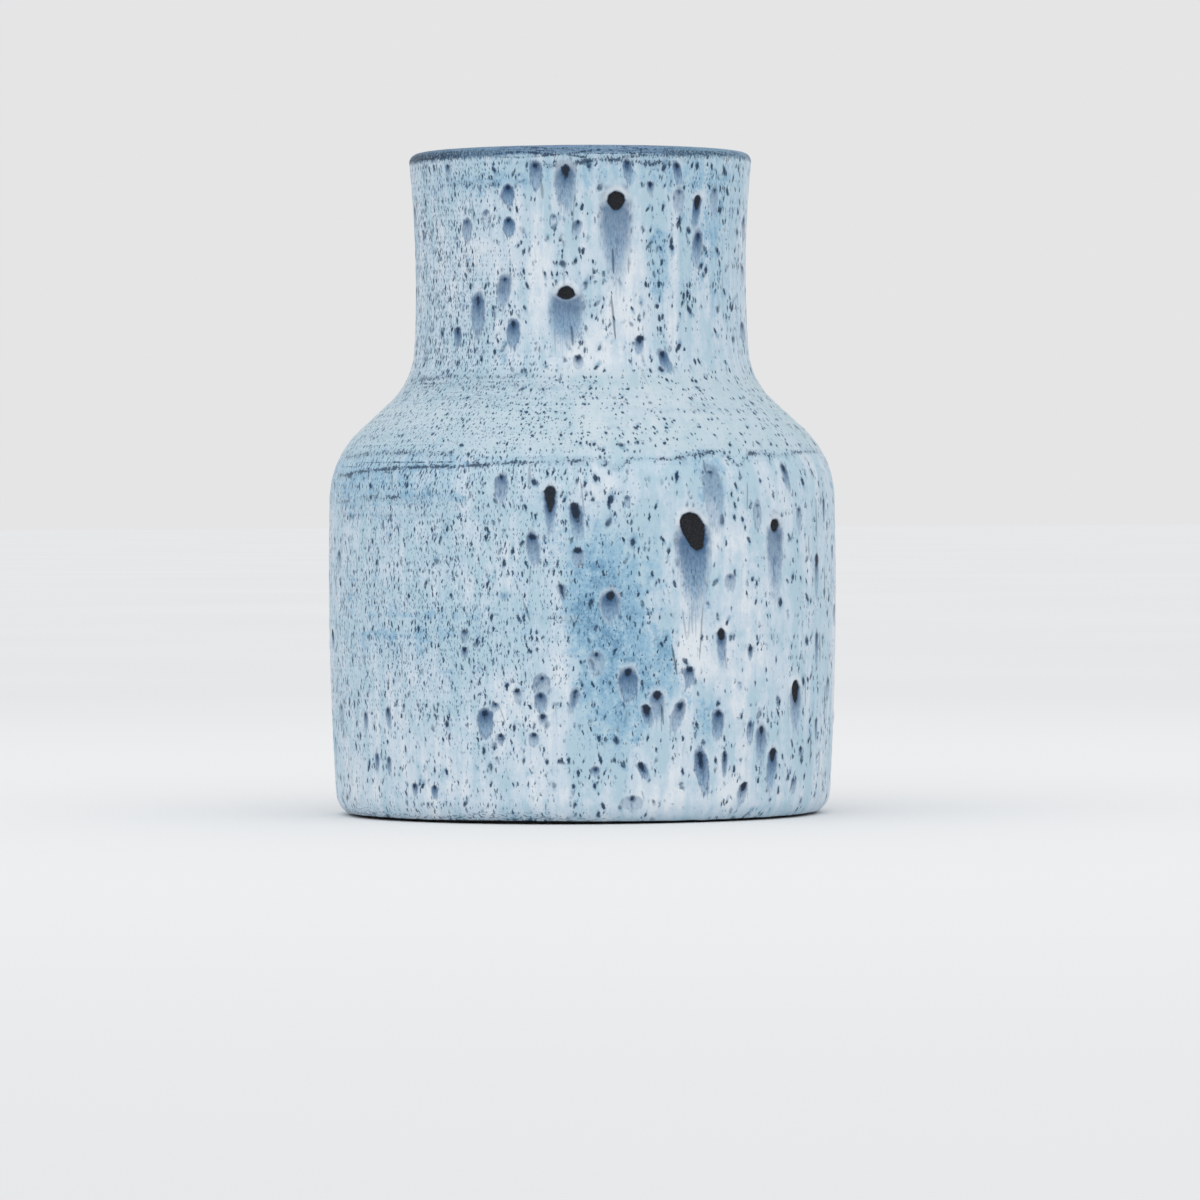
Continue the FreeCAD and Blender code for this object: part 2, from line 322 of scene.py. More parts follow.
FRONT_MARKS = (
    # The bare spots, largest first.
    Mark(25, 102.3, 4.6, 8.4, 7.8, 28, 1.0, bare=1, slant=0.03, tilt=0.22),
    Mark(12, 215.5, 3.1, 3.3, 7.0, 28, 0.76, bare=1),
    Mark(-5, 182.8, 2.9, 1.5, 6.8, 17, 0.82, bare=1),
    Mark(48, 102.5, 2.1, 2.3, 5.3, 24, 0.75, bare=1),
    Mark(56, 46.0, 2.2, 5.6, 4.2, 16, 0.75, bare=1, slant=0.05),
    Mark(32, 65.5, 1.45, 2.9, 2.3, 11, 0.80, bare=0.8, slant=0.05),
    Mark(43.3, 216.5, 1.4, 3.6, 2.2, 11, 1.0, bare=0.7, slant=-0.1),
    # Blots with a dark head, down the neck.
    Mark(-5, 226.5, 1.4, 3.6, 4.2, 14, 0.80, bare=0.4),
    Mark(-25, 220.3, 0.9, 1.0, 2.6, 6.5, 1.0, outline=0.6),
    Mark(-25, 209.0, 0.9, 0.8, 2.4, 5.8, 1.0, outline=1.0),
    Mark(-15, 227.8, 0.9, 1.2, 2.4, 8, 0.80, outline=1.2),
    Mark(-37.5, 182.0, 0.9, 2.6, 3.3, 12.5, 0.85, outline=0.3),
    Mark(-26.8, 188.5, 0.6, 0.7, 3.0, 10, 0.80, slant=-0.12),
    Mark(-23.5, 173.0, 0.9, 1.8, 2.7, 8.5, 0.95, outline=0.5),
    Mark(-46.5, 171.5, 0.9, 1.8, 1.9, 6, 0.90, outline=0.6),
    Mark(-42, 209.0, 0.5, 0.6, 2.3, 6.5, 0.65, outline=0.4),
    Mark(20, 167.5, 1.3, 1.5, 1.7, 5.5, 0.75, slant=-0.15),
    Mark(28, 162.5, 1.0, 1.8, 2.4, 7.5, 0.95, slant=0.3),
    Mark(44, 204.0, 0.9, 2.2, 2.7, 10, 0.90, slant=-0.08),
    Mark(35, 219.0, 0.5, 0.6, 2.6, 7.5, 0.50),
    Mark(-1, 161.0, 1.0, 1.2, 1.8, 4, 0.40),
    Mark(-50, 228.5, 0.6, 0.9, 1.5, 4.5, 0.45),
    Mark(-33.6, 212.0, 0.3, 0.3, 1.6, 5.5, 0.20, outline=0.6),
    Mark(-1, 208.0, 0.6, 0.8, 1.8, 5, 0.45, slant=-0.15),
    Mark(-9.2, 210.0, 0.3, 0.3, 1.3, 4.5, 0.15, outline=0.8),
    Mark(15.5, 228.5, 0.8, 1.6, 1.7, 6.8, 0.80, slant=0.1, outline=0.4),
    Mark(33.6, 228.0, 0.8, 1.6, 1.9, 7, 0.85, slant=0.22, outline=0.4),
    Mark(24, 221.4, 0.8, 1.5, 1.3, 4, 0.40),
    Mark(51.7, 220.0, 0.5, 0.6, 2.2, 8.5, 0.50),
    # Blots on the belly.
    Mark(-7, 114.5, 1.9, 7.0, 2.3, 14, 0.85, bare=0.6),
    Mark(-1.5, 109.0, 1.6, 5.0, 2.6, 11, 0.75, bare=0.2, slant=0.12),
    Mark(-11, 99.0, 1.3, 1.2, 2.6, 10, 0.80, slant=0.1),
    Mark(-1, 94.0, 1.5, 0.7, 2.2, 5, 0.60),
    Mark(6, 78.8, 1.5, 2.2, 3.3, 8.5, 1.0, bare=0.3, outline=0.2),
    Mark(10, 52.5, 1.2, 1.8, 3.6, 10, 1.0, bare=0.3, outline=1.0),
    Mark(3, 58.5, 0.7, 0.7, 3.0, 7, 0.40),
    Mark(-22, 38.5, 1.1, 1.6, 3.1, 8.5, 0.95, outline=0.6),
    Mark(-9, 50.5, 0.6, 0.7, 3.2, 7.5, 0.45, outline=0.4),
    Mark(24, 53.0, 1.2, 1.0, 2.2, 6, 0.85),
    Mark(16.5, 44.5, 1.4, 1.6, 2.9, 9, 0.70, bare=0.4),
    Mark(14, 40.0, 1.3, 2.6, 2.1, 6, 0.80, bare=0.3, slant=0.2),
    Mark(22, 41.0, 1.1, 1.6, 2.6, 9, 0.70, slant=-0.3),
    Mark(27, 23.5, 1.2, 4.6, 2.9, 13, 0.85, slant=0.16, outline=0.9),
    Mark(31.5, 37.5, 1.1, 1.4, 2.8, 9, 0.90),
    Mark(44, 32.0, 0.9, 2.2, 2.9, 12, 0.75, bare=0.4),
    Mark(48, 23.5, 1.6, 3.2, 3.0, 13, 0.90, bare=0.6, slant=-0.1),
    Mark(39, 12.5, 1.3, 2.0, 2.2, 7, 0.55, bare=0.4, slant=-0.25),
    Mark(66, 91.0, 1.3, 3.6, 2.0, 14, 0.70, bare=0.3),
    Mark(52.7, 123.0, 0.9, 2.6, 1.9, 9, 0.65, slant=0.15),
    Mark(42.4, 109.5, 0.3, 0.3, 1.9, 9, 0.35, outline=0.3),
    Mark(57.4, 108.0, 0.4, 0.5, 1.7, 8, 0.50),
    Mark(71, 111.0, 0.6, 3.5, 1.4, 7, 0.60),
    Mark(34.5, 85.0, 0.5, 0.5, 2.3, 5, 0.45),
    Mark(40.1, 60.3, 0.8, 1.6, 1.0, 4.5, 0.50),
    Mark(40.5, 33.7, 0.5, 1.2, 1.6, 6, 0.50, outline=0.8),
    Mark(33.4, 23.5, 0.7, 3.0, 1.1, 7.5, 0.60),
    Mark(66.2, 64.0, 0.6, 2.5, 1.6, 11, 0.70),
    Mark(66.8, 34.0, 0.4, 2.0, 1.3, 7, 0.60),
    Mark(59, 24.5, 0.8, 1.2, 1.3, 3, 0.50),
    Mark(56.4, 13.5, 0.5, 0.7, 1.8, 5, 0.50),
    Mark(9.9, 112.3, 0.3, 0.3, 1.0, 3.6, 0.50, outline=1.0),
    Mark(-9.3, 44.5, 0.9, 1.0, 2.3, 6, 0.80, outline=0.3),
    Mark(-8.8, 37.5, 1.0, 1.2, 1.5, 3, 0.30),
    Mark(-1.6, 46.0, 0.5, 2.2, 1.7, 7, 0.60, slant=-0.2),
    Mark(-10.9, 31.0, 0.9, 0.7, 1.8, 4, 0.60),
    Mark(-18.5, 30.8, 0.85, 1.4, 1.2, 3.5, 0.30),
    Mark(2.7, 19.5, 0.8, 0.9, 1.6, 3, 0.60),
    Mark(-58, 37.0, 0.5, 1.4, 1.6, 6, 0.60),
    Mark(-49.1, 39.0, 0.6, 1.4, 1.5, 7, 0.70, slant=0.05),
    Mark(-54, 23.0, 0.5, 1.8, 1.4, 6, 0.60),
    Mark(-49.5, 22.0, 0.5, 1.4, 1.3, 5, 0.60),
    Mark(-41.2, 13.0, 0.8, 1.4, 1.3, 4, 0.50),
    Mark(-35.6, 12.5, 0.7, 1.2, 1.4, 4, 0.80),
    Mark(-14.5, 46.0, 0.9, 0.8, 1.4, 5, 0.40, slant=0.1),
    Mark(-19.6, 41.6, 0.7, 0.6, 1.5, 2.6, 0.60),
    Mark(-26.8, 66.5, 0.8, 0.7, 1.6, 4, 0.55),
    Mark(-26.8, 60.4, 0.7, 1.1, 1.2, 3, 0.45),
    Mark(-4.6, 82.0, 0.8, 2.2, 1.0, 4, 0.30, slant=0.15),
    Mark(11, 9.0, 0.8, 0.8, 4.0, 4, 0.35),
    Mark(13, 20.5, 1.2, 2.4, 1.7, 5, 0.70, slant=0.35),
    Mark(30, 121.0, 0.6, 0.6, 4.4, 20, 0.42, slant=0.06),
    Mark(-18, 119.5, 0.8, 0.9, 2.6, 8.5, 0.80),
)

# The far side has marks of the same kinds, set by chance.
CHANCE_TRIES = 2600
CHANCE_SHARE = 0.16  # of the tries, how many may be kept
SPOT_SHARE = 0.045  # of the chance marks, how many are bare spots
BLOT_SHARE = 0.25  # and how many are those or large blots
FRONT_EDGE = 70.0  # degrees from the front that the marks above look after
LAYERS = 4


def drawn(dice, low, high):
    return float(dice.uniform(low, high))


def chance_mark(dice):
    """One mark of a kind drawn by chance: mostly small blots, now and then a bare spot."""
    angle = drawn(dice, -180.0, 180.0)
    height = drawn(dice, 9.0, 227.0)
    kind = dice.random()
    slant = float(dice.normal(0.0, 0.08))
    if kind < SPOT_SHARE:
        head = drawn(dice, 1.9, 3.7)
        drop = head * drawn(dice, 0.8, 2.2)
        wide = head * drawn(dice, 1.15, 1.6)
        return Mark(angle, height, head, drop, wide, drawn(dice, 14, 26), 0.75, 1.0, slant)
    if kind < BLOT_SHARE:
        head = drawn(dice, 1.1, 1.7)
        drop = head * drawn(dice, 1.2, 2.6)
        wide = head * drawn(dice, 1.3, 2.0)
        long = drawn(dice, 6, 13)
        return Mark(angle, height, head, drop, wide, long, 0.7, drawn(dice, 0.2, 0.9), slant)
    head = drawn(dice, 0.6, 1.0)
    drop = head * drawn(dice, 0.9, 1.6)
    wide = drawn(dice, 1.8, 3.4)
    long = drawn(dice, 4, 9)
    tint = drawn(dice, 0.3, 0.75)
    outline = float(dice.choice([0.0, 0.5, 0.9]))
    return Mark(angle, height, head, drop, wide, long, tint, 0.0, slant, outline)


def share_out(marks):
    """Puts the marks into layers in which none meets another."""
    layers = [[] for _ in range(LAYERS)]
    for mark in marks:
        room = next((l for l in layers if all(mark.clear_of(other) for other in l)), None)
        if room is None:
            raise ValueError(f"no layer has room for the mark at {mark.angle}, {mark.height}")
        room.append(mark)
    return layers


def all_marks():
    """The front's marks and the chance ones, in layers."""
    dice = np.random.default_rng(SEED)
    layers = share_out(FRONT_MARKS)
    for _ in range(CHANCE_TRIES):
        mark = chance_mark(dice)
        kept = abs(mark.angle) > FRONT_EDGE and dice.random() < CHANCE_SHARE
        others = [other for layer in layers for other in layer]
        if kept and all(mark.clear_of(other) for other in others):
            layers[int(dice.integers(LAYERS))].append(mark)
    return layers


@dataclass
class Streak(Place):
    """A thin dark line left by a run, below the place of its top."""

    long: float
    drift: float  # how far it moves to the right going down
    strength: float = 1.0
    wide: float = 0.32  # half-width

    def room_from(self, other):
        """Least room between the upright boxes that two streaks lie in."""
        drifts = abs(self.drift) + abs(other.drift)
        upper, lower = self.upper_and_lower(other)
        beside = self.beside(other) - drifts - STREAK_MARGIN
        return max(beside, upper.along - upper.long - lower.along - STREAK_MARGIN)


FRONT_STREAKS = (
    # Below the largest bare spot they close on a pool of white glaze.
    Streak(22.3, 74, 11, 1.6, 0.45),
    Streak(24.6, 74, 9, 0.2, 0.35),
    Streak(27.4, 76, 20, -1.5, 0.65),
    Streak(19.8, 62, 11, 2.1, 0.95, 0.42),
    # Below the bare spots of the neck.
    Streak(10.8, 199, 9, 0.3, 0.9, 0.45),
    Streak(16.3, 196, 6, 0, 0.6),
    Streak(10.2, 183, 16, 1.4, 0.8, 0.4),
    Streak(-9, 171, 9, 0.4, 0.3),
    Streak(-13.1, 222, 6, 0.4, 0.6, 0.5),
    Streak(-11.7, 124, 9, 0, 0.45, 0.6),
    Streak(-3.2, 172, 7, 0.4, 0.8, 0.5),
    Streak(19.5, 158, 8, 2, 0.3),
    # Long dashes here and there.
    Streak(-5.2, 84, 6, 1.8, 0.8, 0.5),
    Streak(-13, 77, 7, 2.4, 0.7, 0.45),
    Streak(-0.6, 73, 7, -2.8, 0.6, 0.35),
    Streak(-11.3, 89, 7, -0.4, 0.5),
    Streak(47.4, 92, 11, 0.2, 0.5),
    Streak(17.6, 41, 7, 0.6, 0.8),
    Streak(-44, 61, 7, -0.3, 0.6),
    Streak(57, 17, 8, -3.4, 0.7, 0.5),
    Streak(64, 30, 12, 0.3, 0.7, 0.5),
    Streak(68, 64, 10, 0.4, 0.7, 0.5),
    Streak(-66, 92, 8, 0, 0.8, 0.4),
    Streak(66, 112, 14, 0.2, 0.7, 0.45),
    Streak(71, 88, 12, 0.3, 0.8, 0.5),
    Streak(61.5, 99, 9, 0.2, 0.6, 0.4),
    Streak(72.5, 46, 13, 0.2, 0.8, 0.5),
    Streak(60.5, 48, 9, 0.3, 0.6, 0.4),
    Streak(70, 24, 9, -0.2, 0.7, 0.45),
)
CHANCE_STREAKS = 70
STREAK_GAP = 3.0
STREAK_MARGIN = 3.0  # room that a streak keeps round its own box


def all_streaks():
    """The front's streaks, and chance ones clear of the shoulder's slope."""
    dice = np.random.default_rng(SEED + 1)
    streaks = list(FRONT_STREAKS)
    while len(streaks) < len(FRONT_STREAKS) + CHANCE_STREAKS:
        angle = drawn(dice, -180, 180)
        height = drawn(dice, 20, 224)
        long = drawn(dice, 5, 16)
        drift = float(dice.normal(0.0, 1.0))
        new = Streak(angle, height, long, drift, drawn(dice, 0.2, 0.6), drawn(dice, 0.25, 0.45))
        clear = new.along < SLOPE_START or new.along - new.long > SLOPE_STOP
        if clear and all(new.room_from(old) > STREAK_GAP for old in streaks):
            streaks.append(new)
    return streaks


@dataclass
class Row:
    """A level line of dark specks left by a finger or a rib, over part of the way round."""

    height: float
    middle: float  # degrees
    half: float  # degrees that it reaches each way before it fades
    strength: float
    rise: float = 0.0  # how much higher its right end is than its left, from side to side
    half_width: float = 0.9
    lift: float = 0.0  # further up along the glaze, for rows on the lip


ROWS = (
    Row(125.3, -38, 46, 1, rise=4.5, half_width=0.75),
    Row(124.2, 38, 40, 0.85, rise=3.6, half_width=0.75),
    Row(122, 180, 88, 0.7, rise=1.5),
    Row(127, -56, 26, 0.65, rise=-1),
    Row(112, -56, 24, 0.6),
    Row(106.3, -50, 18, 0.45),
    Row(134, -70, 34, 0.25),
    Row(147, -45, 50, 0.35),
    Row(151, -38, 45, 0.45),
    Row(143, 30, 30, 0.25),
    Row(119, 150, 60, 0.5),
    Row(108, 205, 50, 0.5),
    Row(71, 7, 22, 0.30, half_width=1.2),
    Row(222, -35, 20, 0.5),
    Row(154.5, -44, 34, 0.62),
    Row(231.3, -2, 36, 0.95, half_width=0.45, lift=0.9),
    Row(231.3, 0, 44, 0.85, half_width=0.4, lift=3.3),
    Row(228.6, 8, 27, 0.95, rise=2.2, half_width=0.85),
    Row(227, -160, 60, 0.6),
)


# ---------------------------------------------------------------- fields over the surface


@dataclass
class Patch:
    """A soft-edged area of the glaze."""

    angle: float  # degrees
    height: float
    half_around: float  # half-width along the surface
    half_up: float
    amount: float

    def over(self, spots):
        turn = wrapped(spots.angle - math.radians(self.angle))
        beside = turn * spots.radius / self.half_around
        up = (spots.along - along_at_height(self.height)) / self.half_up
        return self.amount * np.exp(-(np.abs(beside) ** 2.6) - np.abs(up) ** 2.6)


WHITE_AND_LIT_PATCHES = (
    # Painted light: a pale band round the front of the foot, where the lamps light its lower curve
    # less.
    Patch(0, 7, 150, 8, 0.5),
    Patch(24.5, 57.5, 7, 8, 1.8),
    Patch(24, 70, 6, 12, 0.7),
    Patch(38, 60, 9, 34, 0.5),
    Patch(47, 78, 16, 26, 0.4),
    Patch(30.5, 103, 2.2, 9, 0.7),
    Patch(-5.2, 60, 4.4, 32, 0.55),
    Patch(-13, 42, 12, 22, 0.35),
    Patch(10, 114, 16, 9, 0.4),
    Patch(14, 142, 28, 14, 0.5),
    Patch(16, 183, 7.5, 22, 1.1),
    Patch(4, 200, 4, 16, 0.3),
    Patch(-14, 195, 6, 18, 0.45),
    Patch(-2, 165, 17, 10, 0.9),
    Patch(33, 196, 2.6, 24, 0.7),
    Patch(47, 190, 3, 30, 0.5),
    Patch(20, 38, 4, 7, 0.8),
    Patch(28, 12, 18, 12, 0.5),
    Patch(-38, 36, 34, 24, 0.45),
    Patch(-44, 200, 28, 26, 0.4),
)
BLUE_AND_SHADED_PATCHES = (
    Patch(5, 79, 15, 14, 1.25),
    Patch(12, 55, 19, 13, 1),
    Patch(3, 66, 8, 10, 0.5),
    Patch(7, 37, 12, 13, 0.85),
    Patch(29.5, 118, 6, 11, 0.95),
    Patch(29, 36, 6, 8, 0.8),
    Patch(28, 193, 4.2, 13, 0.65),
    Patch(-5, 175, 6, 8, 1.3),
    Patch(12, 206, 5, 10, 0.8),
    Patch(-60, 119, 44, 11, 0.5),
    Patch(-45, 134, 44, 10, 0.08),
    Patch(-38, 66, 44, 12, 0.36),
    Patch(-40, 222, 30, 9, 0.22),
    Patch(8, 224, 60, 4, 0.45),
    Patch(-50, 7, 60, 4, 0.08),
    Patch(2, 100, 18, 11, 0.45),
    # Painted shade: a deeper blue on the neck's right side, where less light reaches it.
    Patch(50, 208, 18, 28, 0.5),
)
DIPPING_ROWS = 2  # the first rows, which move where runs crossed them
DIPS = ((7.5, 4.2, 2.6), (38.5, 4.6, 2.4), (29.0, -2.6, 7.0))  # angle, how far down, half-width
FINE_LEFT = math.radians(-20.0)  # left of this the belly's specks are finer
NECK_FINE_LEFT = math.radians(-44.0)  # and left of this the neck's
FINE_FADE = math.radians(38.0)
PATTERN_RADIUS = 75.0  # of the cylinder that patterns are drawn on
FLOOR_REACH = 80.0  # where the inside floor begins to narrow the pattern
FAR_OFF = 1000.0  # stands for no mark or streak nearby


def around_axis(radius, angle, up):
    """Points, as rows, at a radius and an angle from the front."""
    return np.stack([radius * np.sin(angle), -radius * np.cos(angle), up], 1)


def angle_of(points):
    return np.arctan2(points[:, 0], -points[:, 1])


@dataclass
class Spots:
    """Where a set of mesh points lies: angle from the front, distance along the glaze."""

    angle: np.ndarray
    along: np.ndarray

    def __post_init__(self):
        self.radius, self.height, self.normal_out, self.normal_up = GLAZED.at(self.along)
        on_floor = np.clip((FLOOR_MIDDLE - self.along) / FLOOR_REACH, 0.01, 1.0)
        self.pattern_radius = PATTERN_RADIUS * on_floor

    def places(self):
        """Coordinates for patterns: on a cylinder, which narrows to a point on the floor."""
        return around_axis(self.pattern_radius, self.angle, self.along)

    def stretch(self):
        """Millimetres on the vase to a millimetre round the pattern's cylinder."""
        return self.radius / self.pattern_radius


def wrapped(angle):
    """The same angle between half a turn either way."""
    return (angle + math.pi) % (2 * math.pi) - math.pi


def fade(value, low, high):
    """A smooth step from 0 at low to 1 at high. Low may be the larger."""
    share = np.clip((value - low) / (high - low), 0.0, 1.0)
    return share * share * (3.0 - 2.0 * share)


def waves(spots, seed, around, along, count=14):
    """Smooth noise of about unit size. around: most waves in a turn; along: shortest wave."""
    dice = np.random.default_rng(seed)
    total = np.zeros_like(spots.angle)
    for _ in range(count):
        turns = int(dice.integers(-around, around + 1))
        pitch = float(dice.uniform(-1.0, 1.0)) * 2 * math.pi / along
        total += np.cos(turns * spots.angle + pitch * spots.along + dice.uniform(0, 2 * math.pi))
    return total * math.sqrt(2.0 / count)


def clearly_front(spots):
    """1 on the side with the listed marks, fading to 0 round the back."""
    return fade(np.abs(spots.angle), math.radians(105), math.radians(60))


def tones(spots):
    """How white, how blue and how finely dashed the glaze is at each point. Some of the white is
    painted light and some of the blue painted shade.
    """
    front = clearly_front(spots)
    white = sum(patch.over(spots) for patch in WHITE_AND_LIT_PATCHES)
    blue = sum(patch.over(spots) for patch in BLUE_AND_SHADED_PATCHES)
    white += (1 - front) * np.clip(0.25 + 0.42 * waves(spots, SEED + 2, 26, 90.0), 0, 1)
    blue += (1 - front) * np.clip(-0.2 + 0.5 * waves(spots, SEED + 3, 6, 45.0), 0, 1)
    up = fade(spots.along, SLOPE_STOP - 8.0, SLOPE_STOP + 12.0)
    middle = FINE_LEFT + (NECK_FINE_LEFT - FINE_LEFT) * up
    left = fade(spots.angle - middle, FINE_FADE, -FINE_FADE * 0.3)
    behind = np.clip(0.5 + 0.5 * waves(spots, SEED + 4, 2, 160.0), 0, 1)
    fine = front * left + (1 - front) * behind
    fine = fine * (0.35 + 0.65 * fade(spots.along, 20.0, 62.0))
    inside = fade(spots.along, LIP_TOP, LIP_TOP + 12.0)
    return np.stack([white * (1 - 0.6 * inside), blue, fine], 1)


def mark_fields(spots, marks):
    """The nearest mark's own coordinates and sizes at each point."""
    count = spots.angle.size
    best = np.full(count, np.inf)
    found = {name: np.zeros((count, 3)) for name in ("at", "head", "tail", "form")}
    found["at"][:, 0] = FAR_OFF
    for mark in marks:
        turn = wrapped(spots.angle - math.radians(mark.angle))
        down = mark.along - spots.along
        across = turn * mark.radius
        middle = (mark.down_reach - mark.up_reach) / 2
        half = (mark.down_reach + mark.up_reach) / 2
        beside = np.abs(across - mark.slant * down) - mark.side_reach
        outside = np.maximum(beside, np.abs(down - middle) - half)
        nearer = outside < best
        best = np.where(nearer, outside, best)
        here = np.clip(1.0 - outside / ROW_STEP, 0.0, 1.0)
        found["at"][nearer] = np.stack([across, down, here], 1)[nearer]
        found["head"][nearer] = (mark.head, mark.drop, mark.bare)
        found["tail"][nearer] = (mark.wide, mark.long, mark.tint)
        found["form"][nearer] = (mark.outline, mark.slant + mark.tilt, mark.slant)
    return found


def streak_field(spots, streaks):
    """Across in half-widths, share of the length and strength, for the nearest streak."""
    best = np.full(spots.angle.size, np.inf)
    field = np.zeros((spots.angle.size, 3))
    field[:, 0] = FAR_OFF
    for streak in streaks:
        turn = wrapped(spots.angle - math.radians(streak.angle))
        down = streak.along - spots.along
        across = turn * streak.radius - streak.drift * down / streak.long
        outside = np.maximum(np.abs(across) - 0.8, np.abs(down - streak.long / 2) - streak.long / 2)
        nearer = outside < best
        best = np.where(nearer, outside, best)
        here = streak.strength * np.clip(1.0 - outside / ROW_STEP, 0.0, 1.0)
        values = np.stack([across / streak.wide, down / streak.long, here], 1)
        field[nearer] = values[nearer]
    return field


def row_field(spots):
    """Up from the nearest row in half-widths, and the row's strength."""
    wander = 0.72 * waves(spots, SEED + 5, 14, 400.0)
    around = np.degrees(spots.angle)
    dips = sum(depth * np.exp(-(((around - at) / half) ** 2)) for at, depth, half in DIPS)
    best = np.full(spots.angle.size, np.inf)
    field = np.zeros((spots.angle.size, 3))
    for number, row in enumerate(ROWS):
        turn = np.degrees(wrapped(spots.angle - math.radians(row.middle)))
        middle = along_at_height(row.height) + row.lift
        middle = middle + row.rise * np.sin(spots.angle) + wander
        if number < DIPPING_ROWS:
            middle = middle - dips
        up = (spots.along - middle) / row.half_width
        strength = row.strength * np.exp(-((turn / row.half) ** 4))
        score = np.abs(up) - strength
        nearer = score < best
        best = np.where(nearer, score, best)
        field[nearer] = np.stack([up, strength, np.zeros_like(up)], 1)[nearer]
    return field


# ---------------------------------------------------------------- relief

PIT = 0.66  # how far a bare spot lies below the glaze
ROLL = 0.34  # how far the glaze is rolled up round it
TRAIL = 0.10  # how far a trail sinks
RUN = 0.14  # how far thick runs stand out
WOBBLE = 0.099  # how uneven the pot is, over its whole height
RIDGE = 0.035  # of the throwing ridges
RIDGE_PITCH = 6.4
LEAST_COAT = 0.07  # thinner than this it never gets
LEAST_SIZE = 0.1  # of a mark, so that no sum divides by 0 where there is none
HEAD_NARROWS = 0.25  # how much a head narrows towards its lower end


def head_distance(across, down, head, drop):
    """About how far outside the dark head each point is."""
    reach = np.where(down > 0, drop, head)
    narrow = 1.0 + HEAD_NARROWS * np.clip(down, 0, None) / drop
    return (np.hypot(across * narrow / head, down / reach) - 1.0) * head


def mark_relief(spots, layers):
    """Pits, rolled edges and shallow trails."""
    total = np.zeros_like(spots.angle)
    least = (LEAST_SIZE, LEAST_SIZE, 0.0)
    for marks in layers:
        found = mark_fields(spots, marks)
        aside, down, here = found["at"].T
        _, head_lean, trail_lean = found["form"].T
        head, drop, bare = np.maximum(found["head"], least).T
        wide, long, tint = np.maximum(found["tail"], least).T
        outside = head_distance(aside - head_lean * down, down, head, drop)
        deep = bare * fade(head, 1.0, 2.2)
        pit = -PIT * deep * fade(outside, 0.35, -0.35)
        above = fade(down, head * 1.2, -head * 0.4)
        roll = ROLL * deep * above * np.exp(-(((outside - 1.1) / 0.9) ** 2))
        across = aside - trail_lean * down
        trail = -TRAIL * tint * fade(np.abs(across) - wide, 0.6, -0.8)
        trail = trail * fade(down, long, long * 0.3) * fade(down, -0.5, 1.0)
        total += here * (pit + roll + trail * fade(outside, -0.2, 0.8))
    return total


def relief(spots, layers):
    """How far the glaze's face stands off its even coat, in millimetres."""
    white = tones(spots)[:, 0]
    turn = 2 * math.pi * spots.along / RIDGE_PITCH + spots.angle
    ridges = np.sin(turn + 2 * waves(spots, SEED + 80, 3, 60.0))
    uneven = WOBBLE * waves(spots, SEED + 6, 3, 300.0, 8)
    runs = RUN * (np.clip(white, 0, 1.2) - 0.3) + 0.05 * waves(spots, SEED + 7, 60, 70.0)
    swell = ridges * RIDGE * (1.2 + waves(spots, SEED + 8, 3, 80.0) * 0.5)
    total = uneven + runs + swell + mark_relief(spots, layers)
    thin_lip = fade(np.abs(spots.along - LIP_TOP), 6.0, 1.5)
    total = total * (1 - 0.8 * thin_lip) - 0.1 * thin_lip
    quiet_floor = fade(spots.along, FLOOR_MIDDLE - 1.0, FLOOR_MIDDLE - 40.0)
    return np.maximum(total * quiet_floor, LEAST_COAT - COAT)


def foot_edge(angle):
    """How far up the corner the glaze begins, since it crept down unevenly."""
    spots = Spots(angle, np.zeros_like(angle))
    creep = 0.45 + 0.35 * waves(spots, SEED + 9, 9, 400.0)
    from_bulge = np.abs(spots.angle - math.radians(25.0))
    creep = creep * (1.0 - 0.8 * fade(from_bulge, math.radians(30.0), 0.0))
    return np.clip(creep, 0.0, 1.6)


# ---------------------------------------------------------------- meshes

SHARP = math.radians(60.0)
FACE = 1.0  # the mesh is laid out on a cylinder first: this radius for a layer's face
BACK = 0.5  # and this one for the side that lies on the clay
EDGE_ROWS = (0.12, 0.35, 0.7, 1.2, 1.9)  # close rows for the coat's lower edge
EDGE_ROUND = 1.3  # how far up the coat's lower edge is rounded
MIDDLE_GAP = 1.6  # from the last row to the point that closes the middle
BACK_STRIDE = 7  # rows of the lining's face to one of its back
LIP_FINE = 30.0  # how far past the outside the lining keeps all its columns
FLOOR_NARROW = 45.0  # how far from the middle of the floor it has a quarter of them
CRISP = 1.5  # bare spots at least this big get a finer mesh


@dataclass
class Ring:
    """One row of mesh points: face or back, its distance along the outline and its columns."""

    side: float
    along: float
    columns: int

    def points(self):
        turn = np.arange(self.columns) * 2 * math.pi / self.columns
        return around_axis(self.side, turn, np.full(self.columns, self.along))


def rings_at(side, columns, rows):
    return [Ring(side, along, columns) for along in rows]


def joined(first, second, first_start, second_start):
    """Faces between two rings with equal columns, or one with twice the other's."""
    if first.columns < second.columns:
        return joined(second, first, second_start, first_start)
    faces = []
    each = first.columns // second.columns
    for k in range(second.columns):
        one = [first_start + (each * k + step) % first.columns for step in range(each + 1)]
        faces.append((*one, second_start + (k + 1) % second.columns, second_start + k))
    return faces


